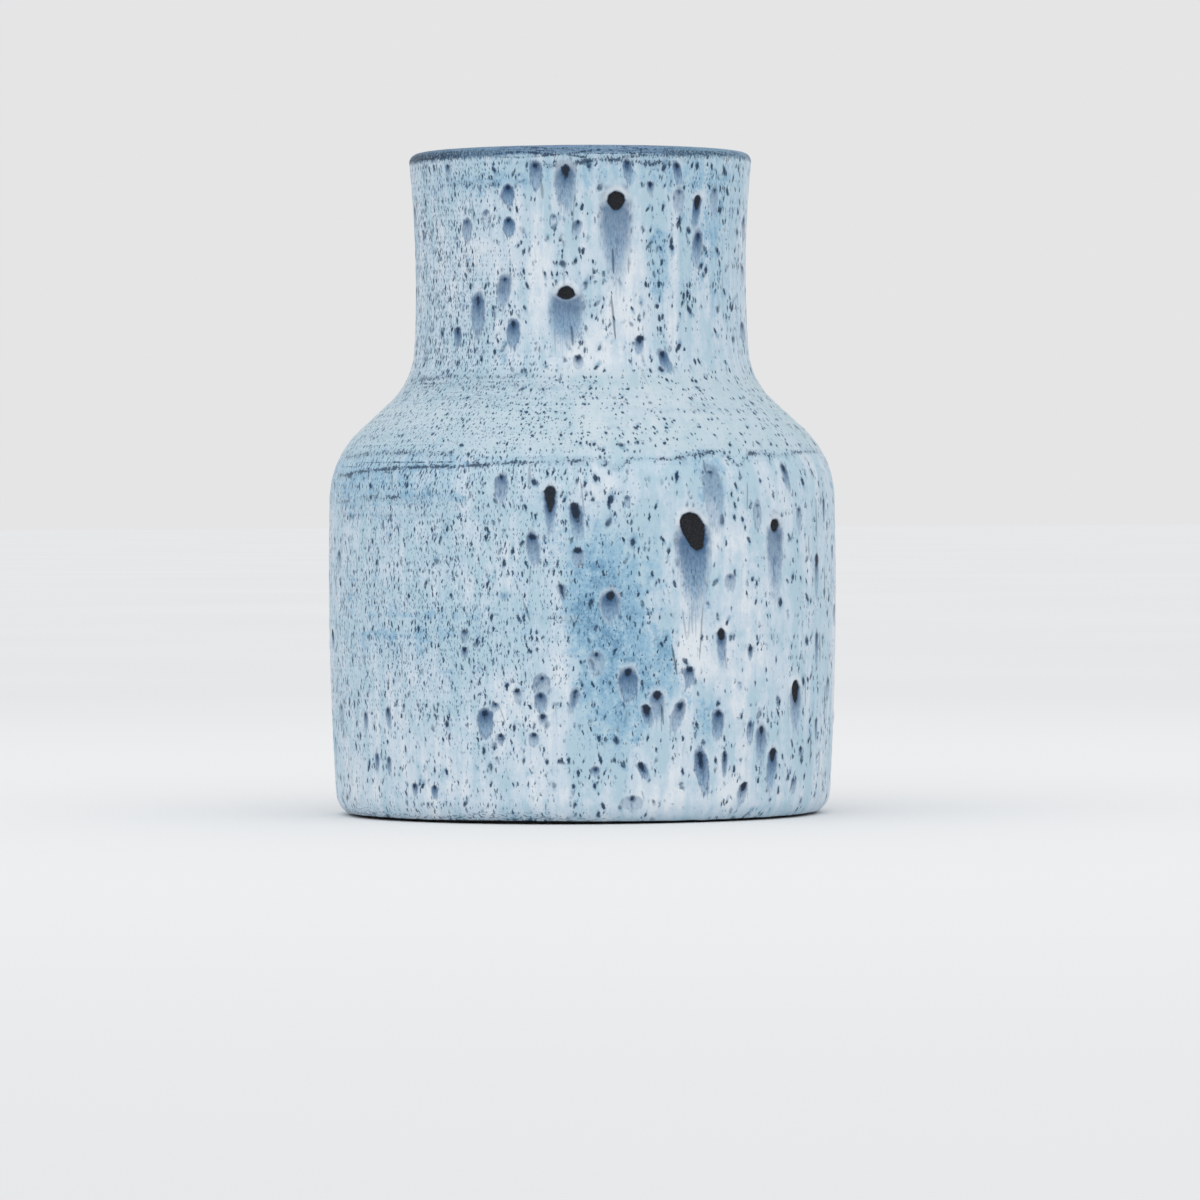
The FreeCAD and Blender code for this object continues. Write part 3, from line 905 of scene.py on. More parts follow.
def laid_out(rings, loop, poles=()):
    """Points and faces of a band of rings. poles are (ring number, distance) of closed ends."""
    starts = np.concatenate([[0], np.cumsum([ring.columns for ring in rings])])
    points = np.concatenate([ring.points() for ring in rings])
    faces = []
    open_after = {number for number, _ in poles}
    for k in range(len(rings) - 1):
        if k not in open_after:
            faces.extend(joined(rings[k], rings[k + 1], int(starts[k]), int(starts[k + 1])))
    if loop:
        faces.extend(joined(rings[-1], rings[0], int(starts[-2]), 0))
    for number, along in poles:
        for end in (number, number + 1) if loop else (number,):
            middle = len(points)
            points = np.concatenate([points, [[0.0, 0.0, along]]])
            ring, start = rings[end], int(starts[end])
            faces.extend(
                (start + k, start + (k + 1) % ring.columns, middle) for k in range(ring.columns)
            )
    return points, faces


def make_mesh(name, points, faces):
    mesh = bpy.data.meshes.new(name)
    mesh.from_pydata(points.tolist(), [], faces)
    return mesh


def read_all(items, name):
    """One vector of each vertex or face, as rows."""
    flat = np.zeros(len(items) * 3)
    items.foreach_get(name, flat)
    return flat.reshape(-1, 3)


def refine(mesh, marks):
    """Divides the faces at the bare spots, so that their edges are crisp shapes."""
    centres = read_all(mesh.polygons, "center")
    on_face = np.hypot(centres[:, 0], centres[:, 1]) > 0.9 * FACE
    angle = angle_of(centres)
    wanted = np.zeros(len(centres), bool)
    for mark in marks:
        if mark.bare * mark.head < CRISP:
            continue
        down = mark.along - centres[:, 2]
        lean = (mark.slant + mark.tilt) * down
        across = wrapped(angle - math.radians(mark.angle)) * mark.radius - lean
        room = mark.head * 0.6 + 1.6
        near = np.abs(across) < mark.head + room
        wanted |= near & (down > -mark.head - room) & (down < mark.drop + room) & on_face
    shape = bmesh.new()
    shape.from_mesh(mesh)
    shape.faces.ensure_lookup_table()
    edges = {edge for number in np.flatnonzero(wanted) for edge in shape.faces[number].edges}
    bmesh.ops.subdivide_edges(
        shape, edges=sorted(edges, key=lambda e: e.index), cuts=2, use_grid_fill=True
    )
    shape.to_mesh(mesh)
    shape.free()


def finish_mesh(mesh):
    """Turns every face outwards and shades it smooth."""
    shape = bmesh.new()
    shape.from_mesh(mesh)
    bmesh.ops.recalc_face_normals(shape, faces=shape.faces)
    shape.to_mesh(mesh)
    shape.free()
    mesh.shade_smooth()
    mesh.set_sharp_from_angle(angle=SHARP)
    mesh.update()


def write_points(mesh, radius, height, angle):
    """Moves the mesh's points from the cylinder to the vase, in metres."""
    points = around_axis(radius, angle, height) * MM
    mesh.vertices.foreach_set("co", points.ravel())
    mesh.update()


def write_field(mesh, name, values):
    """Stores a number or a vector at each point, for the material to read."""
    kind, part = ("FLOAT_VECTOR", "vector") if values.ndim > 1 else ("FLOAT", "value")
    flat = np.ascontiguousarray(values, np.float32).ravel()
    mesh.attributes.new(name, kind, "POINT").data.foreach_set(part, flat)


def add_fields(mesh, spots, layers, streaks):
    write_field(mesh, "place", spots.places())
    write_field(mesh, "stretch", spots.stretch())
    write_field(mesh, "tone", tones(spots))
    write_field(mesh, "streak", streak_field(spots, streaks))
    write_field(mesh, "row", row_field(spots))
    for number, marks in enumerate(layers):
        for part, values in mark_fields(spots, marks).items():
            write_field(mesh, f"mark{number}_{part}", values)


def coat_edge(spots):
    """How much thinner the coat is at the rounded edge where it stops above the foot."""
    share = np.clip(spots.along / EDGE_ROUND, 0.0, 1.0)
    return COAT * (1.0 - np.sqrt(1.0 - (1.0 - share) ** 2)) * 0.9


def glaze_piece(name, rings, poles, layers, streaks):
    """A closed coat of glaze: a modelled face, and a plain back on the clay."""
    points, faces = laid_out(rings, loop=True, poles=poles)
    mesh = make_mesh(name, points, faces)
    refine(mesh, [mark for marks in layers for mark in marks])
    laid = read_all(mesh.vertices, "co")
    side = np.hypot(laid[:, 0], laid[:, 1])
    spots = Spots(angle_of(laid), laid[:, 2])
    on_face = (side > 0.75 * FACE) | (side < 1e-6)
    lift = np.where(on_face, relief(spots, layers) - coat_edge(spots), -COAT)
    crept = Spots(spots.angle, spots.along + foot_edge(spots.angle) * fade(spots.along, 9.0, 0.0))
    radius = crept.radius + crept.normal_out * lift
    height = crept.height + crept.normal_up * lift
    write_points(mesh, radius, height, spots.angle)
    finish_mesh(mesh)
    add_fields(mesh, spots, layers, streaks)
    return add_object(name, mesh)


def add_object(name, data):
    added = bpy.data.objects.new(name, data)
    bpy.context.scene.collection.objects.link(added)
    return added


def make_outer_glaze(layers, streaks):
    """The outside coat, from its edge above the foot to the outer side of the lip."""
    face_rows = [0.0, *EDGE_ROWS, *GLAZED.rows(EDGE_ROWS[-1], LIP_START)[1:]]
    back_rows = GLAZED.rows(0.0, LIP_START, coarser=7.0)[::-1]
    rings = rings_at(FACE, COLUMNS, face_rows) + rings_at(BACK, COLUMNS, back_rows)
    return glaze_piece("glaze_outside", rings, (), layers, streaks)


def make_liner_glaze(layers, streaks):
    """The coat over the lip, down the inside and across the floor."""
    fine_end = LIP_START + LIP_FINE
    wide_end = FLOOR_MIDDLE - FLOOR_NARROW
    last = FLOOR_MIDDLE - MIDDLE_GAP
    fine = GLAZED.rows(LIP_START, fine_end)
    wide = GLAZED.rows(fine_end, wide_end, coarser=2.0)[1:]
    floor = GLAZED.rows(wide_end, last, coarser=2.0)[1:]
    rings = rings_at(FACE, COLUMNS, fine)
    rings += rings_at(FACE, COLUMNS // 2, wide)
    rings += rings_at(FACE, COLUMNS // 4, floor)
    pole = len(rings) - 1
    rings += rings_at(BACK, COLUMNS // 4, (last,))
    rings += rings_at(BACK, COLUMNS // 2, wide[::-BACK_STRIDE])
    rings += rings_at(BACK, COLUMNS, (fine_end, LIP_START))
    return glaze_piece("glaze_lining", rings, ((pole, FLOOR_MIDDLE),), layers, streaks)


TURNED = 0.06  # depth of the turning rings under the foot
TURNED_PITCH = 2.6


def clay_curves():
    """The clay's face from the middle of its underside, out, up and in to the floor."""
    centre, _ = WALL_CURVES.corner(FOOT_CORNER, FOOT_CORNER, 0.0)
    recess_edge = (FOOT_RING_INNER - FOOT_RECESS, FOOT_RECESS)
    ring_inner = (FOOT_RING_INNER, 0.0)
    under = [
        Line((0.0, FOOT_RECESS), recess_edge),
        Line(recess_edge, ring_inner),
        Line(ring_inner, (centre[0], 0.0)),
    ]
    return under, WALL_CURVES.outside(0.0, -math.pi / 2) + WALL_CURVES.over_lip(0.0)


def make_clay():
    """The stoneware body, most of it under the glaze."""
    under, above = clay_curves()
    clay = Outline(under + above)
    foot_end = float(clay.starts[len(under) + 1])
    low = clay.rows(MIDDLE_GAP, foot_end, coarser=0.6)
    high = clay.rows(foot_end, clay.length - MIDDLE_GAP, coarser=4.0)[1:]
    columns = COLUMNS // 2
    rings = rings_at(FACE, columns, (*low, *high))
    points, faces = laid_out(rings, loop=False, poles=((len(rings) - 1, clay.length),))
    middle = len(points)
    points = np.concatenate([points, [[0.0, 0.0, 0.0]]])
    faces += [((k + 1) % columns, k, middle) for k in range(columns)]
    mesh = make_mesh("stoneware", points, faces)
    laid = read_all(mesh.vertices, "co")
    along = laid[:, 2]
    angle = angle_of(laid)
    radius, height, out, up = clay.at(along)
    cut = TURNED * (0.5 + 0.5 * np.sin(2 * math.pi * radius / TURNED_PITCH + angle))
    cut = cut * fade(along, clay.starts[1], clay.starts[1] - 4.0)
    write_points(mesh, radius - out * cut, height - up * cut, angle)
    finish_mesh(mesh)
    write_field(mesh, "place", around_axis(radius, angle, along))
    return add_object("stoneware", mesh)


# ---------------------------------------------------------------- materials


def shade(red, green, blue):
    """A colour given as the screen shows it, from 0 to 255."""
    shown = [part / 255.0 for part in (red, green, blue)]
    linear = [s / 12.92 if s <= 0.04045 else ((s + 0.055) / 1.055) ** 2.4 for s in shown]
    return (*linear, 1.0)


@dataclass
class Signal:
    """A value that varies over the surface: one socket in a shader's node tree."""

    shader: object
    socket: object

    def __add__(self, other):
        return self.shader.math("ADD", self, other)

    def __sub__(self, other):
        return self.shader.math("SUBTRACT", self, other)

    def __rsub__(self, other):
        return self.shader.math("SUBTRACT", other, self)

    def __mul__(self, other):
        return self.shader.math("MULTIPLY", self, other)

    def __truediv__(self, other):
        return self.shader.math("DIVIDE", self, other)

    __radd__ = __add__
    __rmul__ = __mul__

    def size(self):
        return self.shader.math("ABSOLUTE", self)

    def at_least(self, other):
        return self.shader.math("MAXIMUM", self, other)

    def at_most(self, other):
        return self.shader.math("MINIMUM", self, other)

    def step(self, low, high):
        """A smooth step from 0 at low to 1 at high. Low may be the larger."""
        return self.shader.smooth_step(self, low, high)

    def hypot(self, other):
        return self.shader.math("SQRT", self * self + other * other)

    def parts(self):
        """The three parts of a vector."""
        node = self.shader.node("ShaderNodeSeparateXYZ")
        self.shader.put(node.inputs[0], self)
        return [Signal(self.shader, socket) for socket in node.outputs]


class Shader:
    """One material, whose nodes are written as sums."""

    def __init__(self, name):
        self.material = bpy.data.materials.new(name)
        self.material.use_nodes = True
        self.tree = self.material.node_tree
        self.tree.nodes.clear()
        self.surface = self.node("ShaderNodeBsdfPrincipled")
        output = self.node("ShaderNodeOutputMaterial")
        self.tree.links.new(self.surface.outputs[0], output.inputs["Surface"])

    def node(self, kind, **settings):
        node = self.tree.nodes.new(kind)
        for name, value in settings.items():
            setattr(node, name, value)
        return node

    def put(self, socket, value):
        if isinstance(value, Signal):
            self.tree.links.new(value.socket, socket)
        else:
            socket.default_value = value

    def made(self, node, inputs, output=0):
        for socket, value in zip(node.inputs, inputs):
            self.put(socket, value)
        return Signal(self, node.outputs[output])

    def attribute(self, name, output="Vector"):
        node = self.node("ShaderNodeAttribute", attribute_name=name)
        return Signal(self, node.outputs[output])

    def math(self, operation, *values):
        return self.made(self.node("ShaderNodeMath", operation=operation), values)

    def vector(self, operation, *values, output=0):
        return self.made(self.node("ShaderNodeVectorMath", operation=operation), values, output)

    def join(self, *values):
        return self.made(self.node("ShaderNodeCombineXYZ"), values)

    def smooth_step(self, value, low, high):
        node = self.node("ShaderNodeMapRange", interpolation_type="SMOOTHSTEP")
        self.put(node.inputs["Value"], value)
        self.put(node.inputs["From Min"], low)
        self.put(node.inputs["From Max"], high)
        return Signal(self, node.outputs[0])

    def mix(self, share, under, over):
        """The over colour laid on the under colour by a share from 0 to 1."""
        node = self.node("ShaderNodeMix", data_type="RGBA")
        self.put(node.inputs["Factor"], share)
        sockets = [socket for socket in node.inputs if socket.type == "RGBA"]
        self.put(sockets[0], under)
        self.put(sockets[1], over)
        return Signal(self, next(s for s in node.outputs if s.type == "RGBA"))

    def lay(self, colour, *coats):
        """The colour with coats laid over it in turn. A coat is its share and its colour."""
        for share, over in coats:
            colour = self.mix(share, colour, over)
        return colour

    def noise_node(self, place, scale, detail):
        node = self.node("ShaderNodeTexNoise")
        self.put(node.inputs["Vector"], place)
        self.put(node.inputs["Scale"], scale)
        self.put(node.inputs["Detail"], detail)
        return node

    def noise(self, place, pitch, detail=2.0, seed=0.0):
        """Noise from about -1 to 1. pitch is its size across, or across and along, in mm."""
        around, along = pitch if isinstance(pitch, tuple) else (pitch, pitch)
        finer = (1 / around, 1 / around, 1 / along)
        scaled = self.vector("MULTIPLY_ADD", place, finer, (seed,) * 3)
        return Signal(self, self.noise_node(scaled, 1.0, detail).outputs[0]) * 4.0 - 2.0


@dataclass
class Speck:
    """A kind of dark speck: one lies in each cell of the glaze, if chance puts it there."""

    around: float  # size of a cell round the vase, in millimetres
    along: float
    half_wide: float
    half_tall: float
    lean: float
    seed: float
    pit: float  # how deep it lies
    strength: float
    share: float  # of the cells, how many hold one; the last four are added to it
    tail: float = 0.0  # strength of its tail
    if_white: float = 0.0
    if_blue: float = 0.0
    if_fine: float = 0.0
    if_sloped: float = 0.0

    def share_at(self, tone, slope, patchy):
        """How many of the cells hold one, where the glaze has this tone."""
        total = patchy + self.share
        effects = (self.if_white, self.if_blue, self.if_fine, self.if_sloped)
        for effect, signal in zip(effects, (*tone, slope)):
            if effect:
                total = total + signal * effect
        return total


SLOPE_ROUNDS = 0.8  # how much less the specks were drawn out on the shoulder's slope
BEND_PITCH = 1.1
BEND = 0.85  # how far patterns are moved about, to give what they draw uneven edges


class Surface:
    """The frame that specks are drawn in, at each point of a glaze."""

    def __init__(self, shader):
        self.shader = shader
        self.place = shader.attribute("place")
        self.stretch = shader.attribute("stretch", "Fac")
        x, y, self.along = self.place.parts()
        self.around = shader.vector("NORMALIZE", shader.join(0.0 - y, x, 0.0))
        self.outward = shader.vector("NORMALIZE", shader.join(x, y, 0.0))
        moves = Signal(shader, shader.noise_node(self.place, 1 / BEND_PITCH, 1.0).outputs["Color"])
        moves = shader.vector("SUBTRACT", moves, (0.5, 0.5, 0.5))
        self.bent = shader.vector("MULTIPLY_ADD", moves, (BEND, BEND, BEND), self.place)
        above = self.along.step(SLOPE_START - 3.0, SLOPE_START + 6.0)
        self.slope = above * self.along.step(SLOPE_STOP + 3.0, SLOPE_STOP - 6.0)

    def specks(self, kind, share):
        """How far each point is covered by a kind of speck, and by its faint tail below it."""
        s = self.shader
        size = (kind.around, kind.around, kind.along)
        scaled = s.vector("MULTIPLY_ADD", self.bent, tuple(1 / v for v in size), (kind.seed,) * 3)
        cell = s.node("ShaderNodeTexVoronoi")
        s.put(cell.inputs["Vector"], scaled)
        s.put(cell.inputs["Scale"], 1.0)
        chance = Signal(s, cell.outputs["Color"]).parts()
        centre = Signal(s, cell.outputs["Position"])
        off = s.vector("MULTIPLY", s.vector("SUBTRACT", scaled, centre), size)
        across = s.vector("DOT_PRODUCT", off, self.around, output="Value") * self.stretch
        deep = s.vector("DOT_PRODUCT", off, self.outward, output="Value")
        up = off.parts()[2]
        across = across + up * (chance[0] - 0.5) * (2 * kind.lean)
        grown = chance[1] * 0.8 + 0.6
        aside = across / (grown * kind.half_wide)
        rise = up * (self.slope * SLOPE_ROUNDS + 1.0) / (grown * kind.half_tall)
        away = aside.hypot(rise)
        there = (share - chance[2]).step(0.0, 0.3)
        there = there * deep.size().step(0.62 * kind.around, 0.35 * kind.around)
        tail = (aside * 0.5).hypot(rise * 0.42 + (chance[0] - 0.5) * 1.1)
        return away.step(1.25, 0.6) * there, tail.step(1.1, 0.0) * there


GLAZE_BLUE = shade(181, 207, 221)
GLAZE_DEEP = shade(150, 188, 212)
GLAZE_DEEPER = shade(112, 155, 186)
GLAZE_PALE = shade(205, 219, 231)
GLAZE_POOL = shade(225, 232, 238)
SPECK_NAVY = shade(13, 43, 74)
SPECK_BLUE = shade(56, 96, 134)
HEAD_DARK = shade(10, 24, 38)
TRAIL_DARK = shade(42, 82, 124)
TRAIL_LIGHT = shade(106, 150, 186)
LIP_BLUE = shade(78, 112, 144)
LIP_GREY = shade(72, 110, 140)
LIP_PALE = shade(82, 110, 148)
LIP_DARK = shade(20, 36, 58)
# Painted shade for the shoulder's slope, which faces up to the key lamp.
SLOPE_PAINTED_SHADE = shade(182, 200, 204)
GLAZE_SHEEN = 0.25
GLAZE_ROUGHNESS = 0.47
CLAY_DARK = shade(28, 31, 36)
CLAY_LIGHT = shade(50, 49, 53)

GRAIN = Speck(
    1.0, 1.6, 0.18, 0.54, lean=0.15, seed=3.0, pit=0.02, strength=0.75,
    share=0.15, if_blue=0.4, if_fine=0.75,
)
DASH = Speck(
    1.7, 2.5, 0.28, 0.88, lean=0.2, seed=11.0, pit=0.04, strength=0.86, tail=0.5,
    share=0.27, if_white=-0.14, if_blue=0.15, if_fine=0.4, if_sloped=0.2,
)
FLECK = Speck(
    3.0, 3.8, 0.47, 1.08, lean=0.35, seed=23.0, pit=0.05, strength=0.92, tail=0.6,
    share=0.42, if_white=-0.18, if_fine=-0.06, if_sloped=0.15,
)
SPLASH = Speck(
    6.0, 7.0, 0.85, 1.25, lean=0.6, seed=37.0, pit=0.06, strength=0.92, tail=0.85,
    share=0.38, if_fine=-0.25, if_sloped=-0.2,
)


def base_colour(s, surface, tone):
    """The blue ground: deeper bands, pale runs, white pools, and painted shade on the slope, which
    faces up to the key lamp.
    """
    white, blue, fine = tone
    place = surface.place
    cloud = s.noise(place, (9.0, 13.0), 2.0)
    bands = s.noise(place, (50.0, 3.8), 2.0, 3.0)
    mottle = s.noise(surface.bent, (0.8, 1.1), 3.0, 5.0)
    clots = s.noise(surface.bent, (2.6, 4.2), 3.0, 7.0)
    steep = 1.0 - surface.slope
    runs = s.noise(place, (4.4, 34.0), 2.0, 9.0) * steep
    threads = s.noise(place, (0.8, 11.0), 1.0, 13.0) * steep
    pale = white + runs * (0.8 - fine * 0.45) + threads * (fine * 0.35 + 0.15)
    pale = pale + cloud * 0.75 + clots * 0.55 + mottle * 0.3 - blue * 0.5 + 0.1
    pale = pale + bands * (fine * 0.25 + surface.slope * 0.2 + 0.05)
    deep = blue * 1.15 - white * 0.4 + clots * (blue * 0.3 + 0.5) + bands * (fine * 0.35 + 0.1)
    deep = deep + mottle * (blue * 0.35 + 0.3) + cloud * 0.4 - runs * 0.2
    return s.lay(
        GLAZE_BLUE,
        (pale.step(-0.35, 0.7), GLAZE_PALE),
        (pale.step(0.5, 1.6), GLAZE_POOL),
        (deep.step(0.05, 1.1), GLAZE_DEEP),
        (deep.step(0.95, 2.1), GLAZE_DEEPER),
        # painted shade: duller, greyer glaze on the slope that faces the key lamp
        (surface.slope * 0.35, SLOPE_PAINTED_SHADE),
    )


TRAIL_NARROWS = 0.03  # how much a trail narrows towards its lower end, for each millimetre


class MarkLayer:
    """The marks of one layer: their shapes as distances, and what they lay on the glaze."""

    def __init__(self, s, surface, number):
        def read(part):
            return s.attribute(f"mark{number}_{part}").parts()

        self.aside, self.down, self.here = read("at")
        head, drop, self.bare = read("head")
        wide, long, self.tint = read("tail")
        outline, head_lean, trail_lean = read("form")
        self.closed = 1.0 - self.bare
        self.wobble = s.noise(surface.place, 1.7, 3.0, 31.0 + number)
        self.clots = s.noise(surface.place, 3.2, 1.0, 37.0 + number)
        self.feather = s.noise(surface.place, (0.5, 6.0), 2.0, 41.0 + number)
        self.grain = s.noise(surface.bent, (0.6, 1.5), 2.0, 51.0 + number)
        self.draw_head(head.at_least(LEAST_SIZE), drop.at_least(LEAST_SIZE), head_lean)
        self.draw_trail(wide.at_least(LEAST_SIZE), long.at_least(LEAST_SIZE), trail_lean, outline)

    def draw_head(self, head, drop, lean):
        """The dark head, the clay it bares, its pale halo above and its shadow below."""
        below = self.down.at_least(0.0)
        narrow = below / drop * HEAD_NARROWS + 1.0
        reach = self.down.step(-0.01, 0.01) * (drop - head) + head
        across = (self.aside - self.down * lean) * narrow
        round_head = (across / head).hypot(self.down / reach) - 1.0
        uneven = (head * 0.2).at_most(0.24) * (self.closed * 0.9 + 1.0)
        outside = round_head * head + self.wobble * uneven
        ragged = outside + self.grain * (self.closed * 0.45 + 0.05) + self.closed * 0.2
        self.dark = ragged.step(0.6, -0.3) * self.here
        self.core = ragged.step(0.2, -0.5) * self.here
        self.open = outside.step(0.12, -0.12) * self.here * self.bare
        self.shadow = outside.step(1.7, 0.0) * self.down.step(-1.0, 0.4) * self.here
        above = self.down.step(head * 1.2, head * -0.4)
        halo = outside.step(0.0, 0.5) * outside.step(2.9, 0.8)
        self.halo = halo * above * self.here * self.bare

    def draw_trail(self, wide, long, lean, outline):
        """The trail, the lines in it, its dark outline and the pale glaze beside it."""
        self.share = (self.down / long).at_least(0.0)
        across = (self.aside - self.down * lean) * (self.share * long * TRAIL_NARROWS + 1.0)
        tear = (across / wide).hypot((self.down - long * 0.42) / (long * 0.58))
        tear = tear + self.wobble * 0.05 + self.clots * 0.11
        feathered = tear + self.feather * 0.3 * self.share
        soft = self.share.step(0.1, 1.0) * (long * 0.014).at_most(0.3)
        self.trail = feathered.step(1.22 + soft, 0.74 - soft) * self.tint * self.here
        self.lines = self.feather.step(0.25, 0.7) * self.share.step(0.1, 0.7) * self.trail
        edge = (outline + self.closed * 0.35).at_most(1.0)
        ring = feathered.step(0.72, 0.96) * feathered.step(1.24, 1.0) * edge * self.here
        self.ring = (ring * (self.grain * 0.5 + 0.7)).at_most(1.0)
        self.beside = tear.step(1.5, 0.85) * self.here * (self.tint + 0.2)

    def over(self, s, colour):
        trail_colour = s.mix(self.share.step(0.0, 0.95), TRAIL_DARK, TRAIL_LIGHT)
        return s.lay(
            colour,
            (self.beside * 0.6, GLAZE_PALE),
            (self.trail * (0.96 - self.share * 0.32), trail_colour),
            (self.trail * self.grain.step(-0.3, 0.6) * 0.45, SPECK_BLUE),
            (self.lines * 0.45, SPECK_NAVY),
            (self.ring * 0.8, SPECK_BLUE),
            (self.halo * 0.6, GLAZE_POOL),
            (self.shadow * 0.6, SPECK_BLUE),
            (self.dark * 0.9, SPECK_NAVY),
            (self.core * (self.bare * 0.3 + 0.5), HEAD_DARK),
        )


def lay_rows(s, surface, colour):
    """Level lines of dark grains, and the deeper blue that lies along them."""
    up, strength, _ = s.attribute("row").parts()
    grain = s.noise(surface.bent, (0.7, 1.2), 2.0, 71.0)
    breaks = s.noise(surface.place, 7.0, 1.0, 73.0)
    close = up.size().step(2.4, 0.1)
    row = grain * 0.85 + close * strength * 1.25 + breaks * 0.35
    row = row.step(0.75, 1.25) * strength.step(0.0, 0.3)
    row = row * close.step(0.0, 0.3)
    colour = s.lay(
        colour,
        (up.size().step(7.0, 0.0) * strength * 0.35, GLAZE_DEEP),
        (close * strength * (breaks * 0.25 + 0.22), SPECK_BLUE),
        (row * 0.8, SPECK_NAVY),
    )
    return colour, row


def lay_streaks(s, colour):
    """Long thin dark lines, tapered at both ends."""
    aside, share, strength = s.attribute("streak").parts()
    taper = s.math("SQRT", (share * (1.0 - share) * 4.0).at_least(0.002))
    line = (aside.size() / taper).step(1.7, 0.4) * strength
    line = line * share.step(0.0, 0.01) * share.step(1.0, 0.99)
    return s.mix(line * 0.75, colour, SPECK_NAVY), line


def lay_lip(s, surface, colour):
    """The blue-grey lip, where the glaze ran thin, with a ragged dark lower edge.

    It is paler at the very front and at the right."""
    needles = s.noise(surface.bent, (0.7, 2.2), 3.0, 83.0)
    grain = s.noise(surface.bent, (0.9, 0.7), 2.0, 85.0)
    side = s.noise(surface.place, 26.0, 1.0, 87.0)
    level = s.noise(surface.bent, (9.0, 0.9), 2.0, 86.0)
    off = (surface.along - LIP_TOP).size()
    right, toward, _ = surface.place.parts()
    pale = (toward * (-1.0 / PATTERN_RADIUS)).step(0.8, 0.95)
    thin = (right * (1.0 / PATTERN_RADIUS)).step(0.5, 0.8)
    band = (off + needles * 0.8 + pale * 0.6 + thin * 0.8).step(LIP_BAND + 0.6, LIP_BAND - 0.8)
    lip = s.lay(
        LIP_BLUE,
        (side.step(-0.5, 0.5), LIP_GREY),
        (pale, LIP_PALE),
        (thin * 0.3, GLAZE_DEEP),
        ((needles * 0.5 + level).step(0.1, 1.1) * 0.7, LIP_DARK),
        (grain.step(-0.2, -1.0) * 0.35, GLAZE_DEEP),
    )
    edge = (off - LIP_BAND + 1.6).size().step(3.0, 0.4) * (1.0 - pale * 0.35)
    dark = edge * 0.85 + grain * 0.95 + side * 0.25 - pale * 0.1 - thin * 0.3
    dark = dark.step(0.3, 1.1) * band.at_least(0.5)
    dark = dark * off.step(LIP_BAND + 2.4, LIP_BAND + 1.0)
    return s.lay(colour, (band * 0.92, lip), (dark * 0.85, LIP_DARK))


def lay_foot(s, surface, colour):
    """Deeper blue where the glaze gathered above its lower edge."""
    grain = s.noise(surface.bent, (1.4, 0.6), 3.0, 89.0)
    side = s.noise(surface.place, 34.0, 1.0, 90.0)
    right, _, _ = surface.place.parts()
    left = (right * (1.0 / PATTERN_RADIUS)).step(0.3, -0.1)
    low = (surface.along - side * 2.4).step(8.5, 2.5)
    dark = (low * 1.1 + grain * 0.8).step(1.0, 1.6) * left
    return s.lay(colour, (low * 0.12, GLAZE_DEEP), (dark * 0.7, SPECK_NAVY))


def lay_specks(s, surface, tone, colour):
    """Specks of every kind over a fine comb of lines. Gives the dashes and all pits as well."""
    patchy = s.noise(surface.place, (22.0, 5.0), 2.0, 57.0) * 0.16
    patchy = patchy + s.noise(surface.place, 6.0, 2.0, 59.0) * 0.28

    def scattered(kind):
        return surface.specks(kind, kind.share_at(tone, surface.slope, patchy))

    grains, _ = scattered(GRAIN)
    dashes, dash_tails = scattered(DASH)
    flecks, fleck_tails = scattered(FLECK)
    splashes, splash_tails = scattered(SPLASH)
    fine = tone[2]
    comb = s.noise(surface.place, (0.4, 3.4), 1.0, 61.0).step(0.3, 1.3)
    colour = s.lay(
        colour,
        (comb * (1.0 - surface.slope) * (fine * 0.35 + 0.2), GLAZE_DEEPER),
        (dash_tails * DASH.tail, GLAZE_DEEP),
        (fleck_tails * FLECK.tail, GLAZE_DEEPER),
        (splash_tails * SPLASH.tail, GLAZE_DEEPER),
        (grains * GRAIN.strength, SPECK_BLUE),
        (dashes * DASH.strength, SPECK_NAVY),
        (flecks * FLECK.strength, SPECK_NAVY),
        (splashes * SPLASH.strength, SPECK_NAVY),
    )
    pits = grains * GRAIN.pit + dashes * DASH.pit + flecks * FLECK.pit + splashes * SPLASH.pit
    return colour, dashes, pits


def glaze_material():
    """Blue speckled glaze, with the clay's own colour where it is bare."""
    s = Shader("speckled blue glaze")
    surface = Surface(s)
    tone = s.attribute("tone").parts()
    colour = base_colour(s, surface, tone)
    colour, dashes, pits = lay_specks(s, surface, tone, colour)
    colour = lay_lip(s, surface, colour)
    colour, row = lay_rows(s, surface, colour)
    layers = [MarkLayer(s, surface, number) for number in range(LAYERS)]
    for layer in layers:
        colour = layer.over(s, colour)
    colour, line = lay_streaks(s, colour)
    colour = lay_foot(s, surface, colour)

    grit = s.noise(surface.place, 0.55, 2.0, 97.0)
    clay = s.mix(grit.step(-0.3, 0.9), CLAY_DARK, CLAY_LIGHT)
    open_clay = layers[0].open
    for layer in layers[1:]:
        open_clay = open_clay.at_least(layer.open)
    s.put(s.surface.inputs["Base Color"], s.mix(open_clay, colour, clay))

    rough = s.noise(surface.place, 1.8, 2.0, 103.0) * 0.035 + dashes * 0.08 + open_clay * 0.36
    s.put(s.surface.inputs["Roughness"], rough + GLAZE_ROUGHNESS)
    s.put(s.surface.inputs["Specular IOR Level"], GLAZE_SHEEN)
    throwing = s.noise(surface.place, (60.0, 1.3), 2.0, 109.0) * 0.008
    skin = s.noise(surface.place, 1.2, 2.0, 113.0) * 0.012
    pits = pits + row * 0.04 + line * 0.05
    add_bump(s, throwing + skin - pits + open_clay * grit * 0.06)
    return s.material


